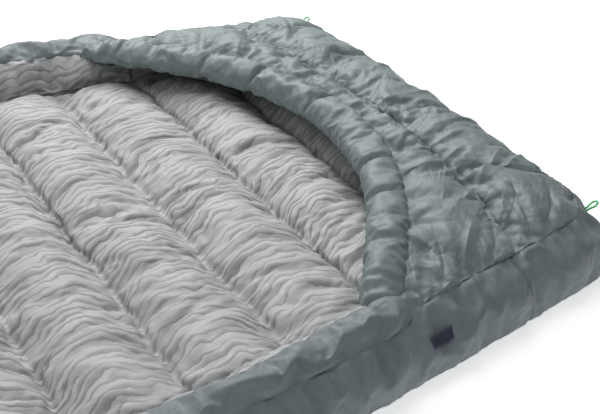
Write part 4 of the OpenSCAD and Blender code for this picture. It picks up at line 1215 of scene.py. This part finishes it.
def build_tab():
    lo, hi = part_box("label_tab")
    # hinge line, along the wall seam
    jx, jy, jz = 0.396, -0.8888, 0.099
    a = math.radians(9)
    ex = Vector((math.cos(a), math.sin(a), 0)); down = Vector((math.sin(a) * 0.5, -0.5, -0.84)).normalized()
    nrm = ex.cross(down); nrm = -nrm if nrm.y > 0 else nrm
    L, H = 0.068, 0.027
    nx, ny = 22, 10
    faces, verts = [], []
    P = np.zeros((nx + 1, ny + 1, 3)); F = np.zeros((nx + 1, ny + 1, 2))
    for i in range(nx + 1):
        for j in range(ny + 1):
            s = (i / nx - 0.5) * L; h = j / ny * H
            curl = 0.0025 * math.sin(i / nx * 5.1) * (j / ny) ** 1.5 + 0.0022 * (j / ny) ** 2
            p = Vector((jx, jy, jz)) + ex * s + down * h + nrm * (0.0012 + curl)
            P[i, j] = p; F[i, j] = (s, h)
    ob = grid_mesh("side_tab", P, F)
    m = ob.modifiers.new("thick", "SOLIDIFY"); m.thickness = 0.0012; m.offset = 0
    apply_mods(ob)
    bv = ob.modifiers.new("bev", "BEVEL"); bv.width = 0.0004; bv.segments = 2; bv.limit_method = "ANGLE"
    apply_mods(ob)
    ob.data.materials.clear(); ob.data.materials.append(tab_mat())
    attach(ob, "label_tab")
    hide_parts("label_tab")
    return ob

def build_head_hem():
    """Rolled hem that closes the head edge."""
    ys = np.linspace(-0.93, 0.93, 240)
    x0 = -HL + 0.0098
    m = 12
    P = np.zeros((len(ys), m, 3)); F = np.zeros((len(ys), m, 2))
    for j in range(m):
        w = 2 * math.pi * j / m
        r = 0.0086 + 0.0009 * perlin(ys / 0.03, ys * 0 + j * 0.3, 95)
        P[:, j, 0] = x0 + r * math.cos(w); P[:, j, 1] = ys; P[:, j, 2] = 0.0106 + r * math.sin(w)
        F[:, j, 0] = ys; F[:, j, 1] = w * 0.005
    ob = grid_mesh("head_edge_hem", P, F, {"seam_d": np.full((len(ys), m), 0.05), "seam_s": F[:, :, 0]}, wrap=True)
    finish_piece(ob, SHELL)
    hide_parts("head_end_hem")
    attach(ob, "head_panel")
    return ob

def build_gussets(wall, bands):
    """Small closing panels where the wall and its crest run out at the head corners."""
    wc = coords(wall); wu, wv = flat_of(wall)
    for side, nm, band in ((-1, "near", bands[0]), (1, "far", bands[1])):
        bc = coords(band); bu, bv = flat_of(band)
        iw = np.where(np.abs(wu - (wu.min() if side < 0 else wu.max())) < 1e-5)[0]; iw = iw[np.argsort(wv[iw])]
        ib = np.where(bu < bu.min() + 1e-5)[0]; ib = ib[np.argsort(bv[ib])]
        C = np.concatenate([wc[iw], bc[ib]])
        L = np.concatenate([[0], np.cumsum(np.linalg.norm(np.diff(C, axis=0), axis=1))])
        f = L / L[-1]
        yo, yi = abs(C[0, 1]), abs(C[-1, 1]) - 0.012
        B = np.stack([np.full(len(C), -0.9880), side * mix(yo, yi, f), np.full(len(C), 0.0030)], -1)
        R = 8
        A = np.zeros((len(C), R, 3)); AF = np.zeros((len(C), R, 2))
        for r in range(R):
            q = r / (R - 1)
            A[:, r] = mix(C, B, q)
            A[:, r, 0] -= 0.0035 * math.sin(math.pi * q)
            AF[:, r, 0] = L; AF[:, r, 1] = q * 0.04
        if side < 0:
            A = A[:, ::-1]; AF = AF[:, ::-1]
        g = grid_mesh("head_corner_gusset_" + nm, A, AF, {"seam_d": np.full(A.shape[:2], 0.03), "seam_s": AF[:, :, 0]})
        finish_piece(g, SHADED_WALL)
        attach(g, "head_panel")

build_lining()
WALL_OB = build_walls()
BAND_OBS = build_bands()
build_gussets(WALL_OB, BAND_OBS)
build_base()
build_pocket()
build_collar()
build_ceiling()
def sink(co):
    # the down rests low in the chamber, clear of the cloth above and of the ground sheet
    co = co.copy(); co[:, 2] = 0.0122 + 0.07 * (co[:, 2] - 0.02); return co
def tuck(co):
    co = co.copy(); W = out_y(co[:, 0]); s = np.sign(co[:, 1])
    foot = co[:, 0] > 0.67
    co[:, 2] = 0.022 + 0.62 * (co[:, 2] - 0.01)
    co[:, 1] = np.where(foot, co[:, 1] * 0.955, co[:, 1] - s * 0.030)
    co[:, 0] = np.where(co[:, 0] > 0.86, 0.917 + (co[:, 0] - 0.86) * 0.36, co[:, 0])
    co[:, 2] = np.where(co[:, 0] > 0.86, np.minimum(co[:, 2], 0.078), co[:, 2])
    hf = 1 - smooth((co[:, 0] + 0.99) / 0.34)
    co[:, 2] = mix(co[:, 2], 0.010 + 0.10 * co[:, 2], hf)
    co[:, 1] = mix(co[:, 1], co[:, 1] * 0.95, hf)
    co[:, 0] = np.where(co[:, 0] < -0.85, -0.85 + (co[:, 0] + 0.85) * 0.70, co[:, 0])
    return co
def low_baffle(co):
    co = co.copy(); co[:, 2] = 0.0108 + 0.06 * co[:, 2]; return co
def shade(co):
    co = co.copy(); co[:, 2] = 0.124 + 0.40 * (co[:, 2] - 0.118)
    co[:, 1] *= 0.955; return co
inner_piece("down_in_tray", ["main_down", "head_down"], DOWN, "fold", drop=sink)
inner_piece("down_in_walls", ["near_wall_down", "far_wall_down", "foot_wall_down", "head_near_wall_down", "head_far_wall_down"], DOWN, "fold", drop=tuck)
inner_piece("baffle_walls", ["main_baffles", "head_baffles"], MESHM, "fold", drop=low_baffle)
inner_piece("down_in_pocket", ["pocket_down"], DOWN, "pocket", drop=shade)
inner_piece("pocket_baffle_wall", ["pocket_baffle"], MESHM, "pocket", drop=shade)
build_loop(-1, "near"); build_loop(1, "far")
build_tab()
build_head_hem()

# ------------------------------------------------------------------ studio
def build_studio():
    me = bpy.data.meshes.new("studio_floor")
    me.from_pydata([(-30, -30, 0), (30, -30, 0), (30, 30, 0), (-30, 30, 0)], [], [(0, 1, 2, 3)])
    fl = bpy.data.objects.new("studio_floor", me); S.collection.objects.link(fl)
    m, nt, b = new_mat("floor_white")
    b.inputs["Base Color"].default_value = (0.88, 0.88, 0.88, 1)
    b.inputs["Roughness"].default_value = 0.9
    b.inputs["Emission Color"].default_value = (1, 1, 1, 1)
    b.inputs["Emission Strength"].default_value = 0.55
    me.materials.append(m)
    fl.location.z = -0.0015
    def area(name, loc, target, size, power, col=(1, 1, 1)):
        li = bpy.data.lights.new(name, "AREA"); li.energy = power; li.size = size; li.color = col
        o = bpy.data.objects.new(name, li); S.collection.objects.link(o)
        o.location = loc
        o.rotation_euler = (Vector(target) - Vector(loc)).to_track_quat("-Z", "Y").to_euler()
        return o
    area("key", (1.05, 2.9, 2.45), (0.2, 0, 0.1), 1.9, 100)
    area("side", (-3.0, 1.1, 2.3), (0.2, 0, 0.1), 1.5, 17)
    area("top", (0.7, 0.7, 3.4), (0.3, 0, 0), 2.2, 46)
    area("fill", (-2.4, -2.6, 2.0), (0.2, -0.2, 0), 2.5, 15, (0.93, 0.96, 1.0))
    w = bpy.data.worlds.new("studio"); S.world = w; w.use_nodes = True
    bg = w.node_tree.nodes.get("Background") or w.node_tree.nodes.new("ShaderNodeBackground")
    # the camera sees white beyond the floor; the quilt is lit by a dimmer white
    wt = w.node_tree
    lp = wt.nodes.new("ShaderNodeLightPath"); mr = wt.nodes.new("ShaderNodeMapRange")
    mr.inputs["To Min"].default_value = 0.25; mr.inputs["To Max"].default_value = 1.0
    wt.links.new(lp.outputs["Is Camera Ray"], mr.inputs["Value"]); wt.links.new(mr.outputs[0], bg.inputs[1])
    bg.inputs[0].default_value = (0.95, 0.97, 1.0, 1); bg.inputs[1].default_value = 0.27
    S.view_settings.view_transform = "Standard"
    S.view_settings.look = "None"
    S.view_settings.exposure = 0.0
    cam = bpy.data.cameras.new("cam"); cam.sensor_width = 36; cam.lens = 67.98; cam.sensor_fit = "HORIZONTAL"
    co = bpy.data.objects.new("cam", cam); S.collection.objects.link(co)
    co.location = (-0.82, -2.387, 1.56)
    co.rotation_euler = (math.radians(90 - 31.2), 0, math.radians(-30.2))
    S.camera = co
build_studio()

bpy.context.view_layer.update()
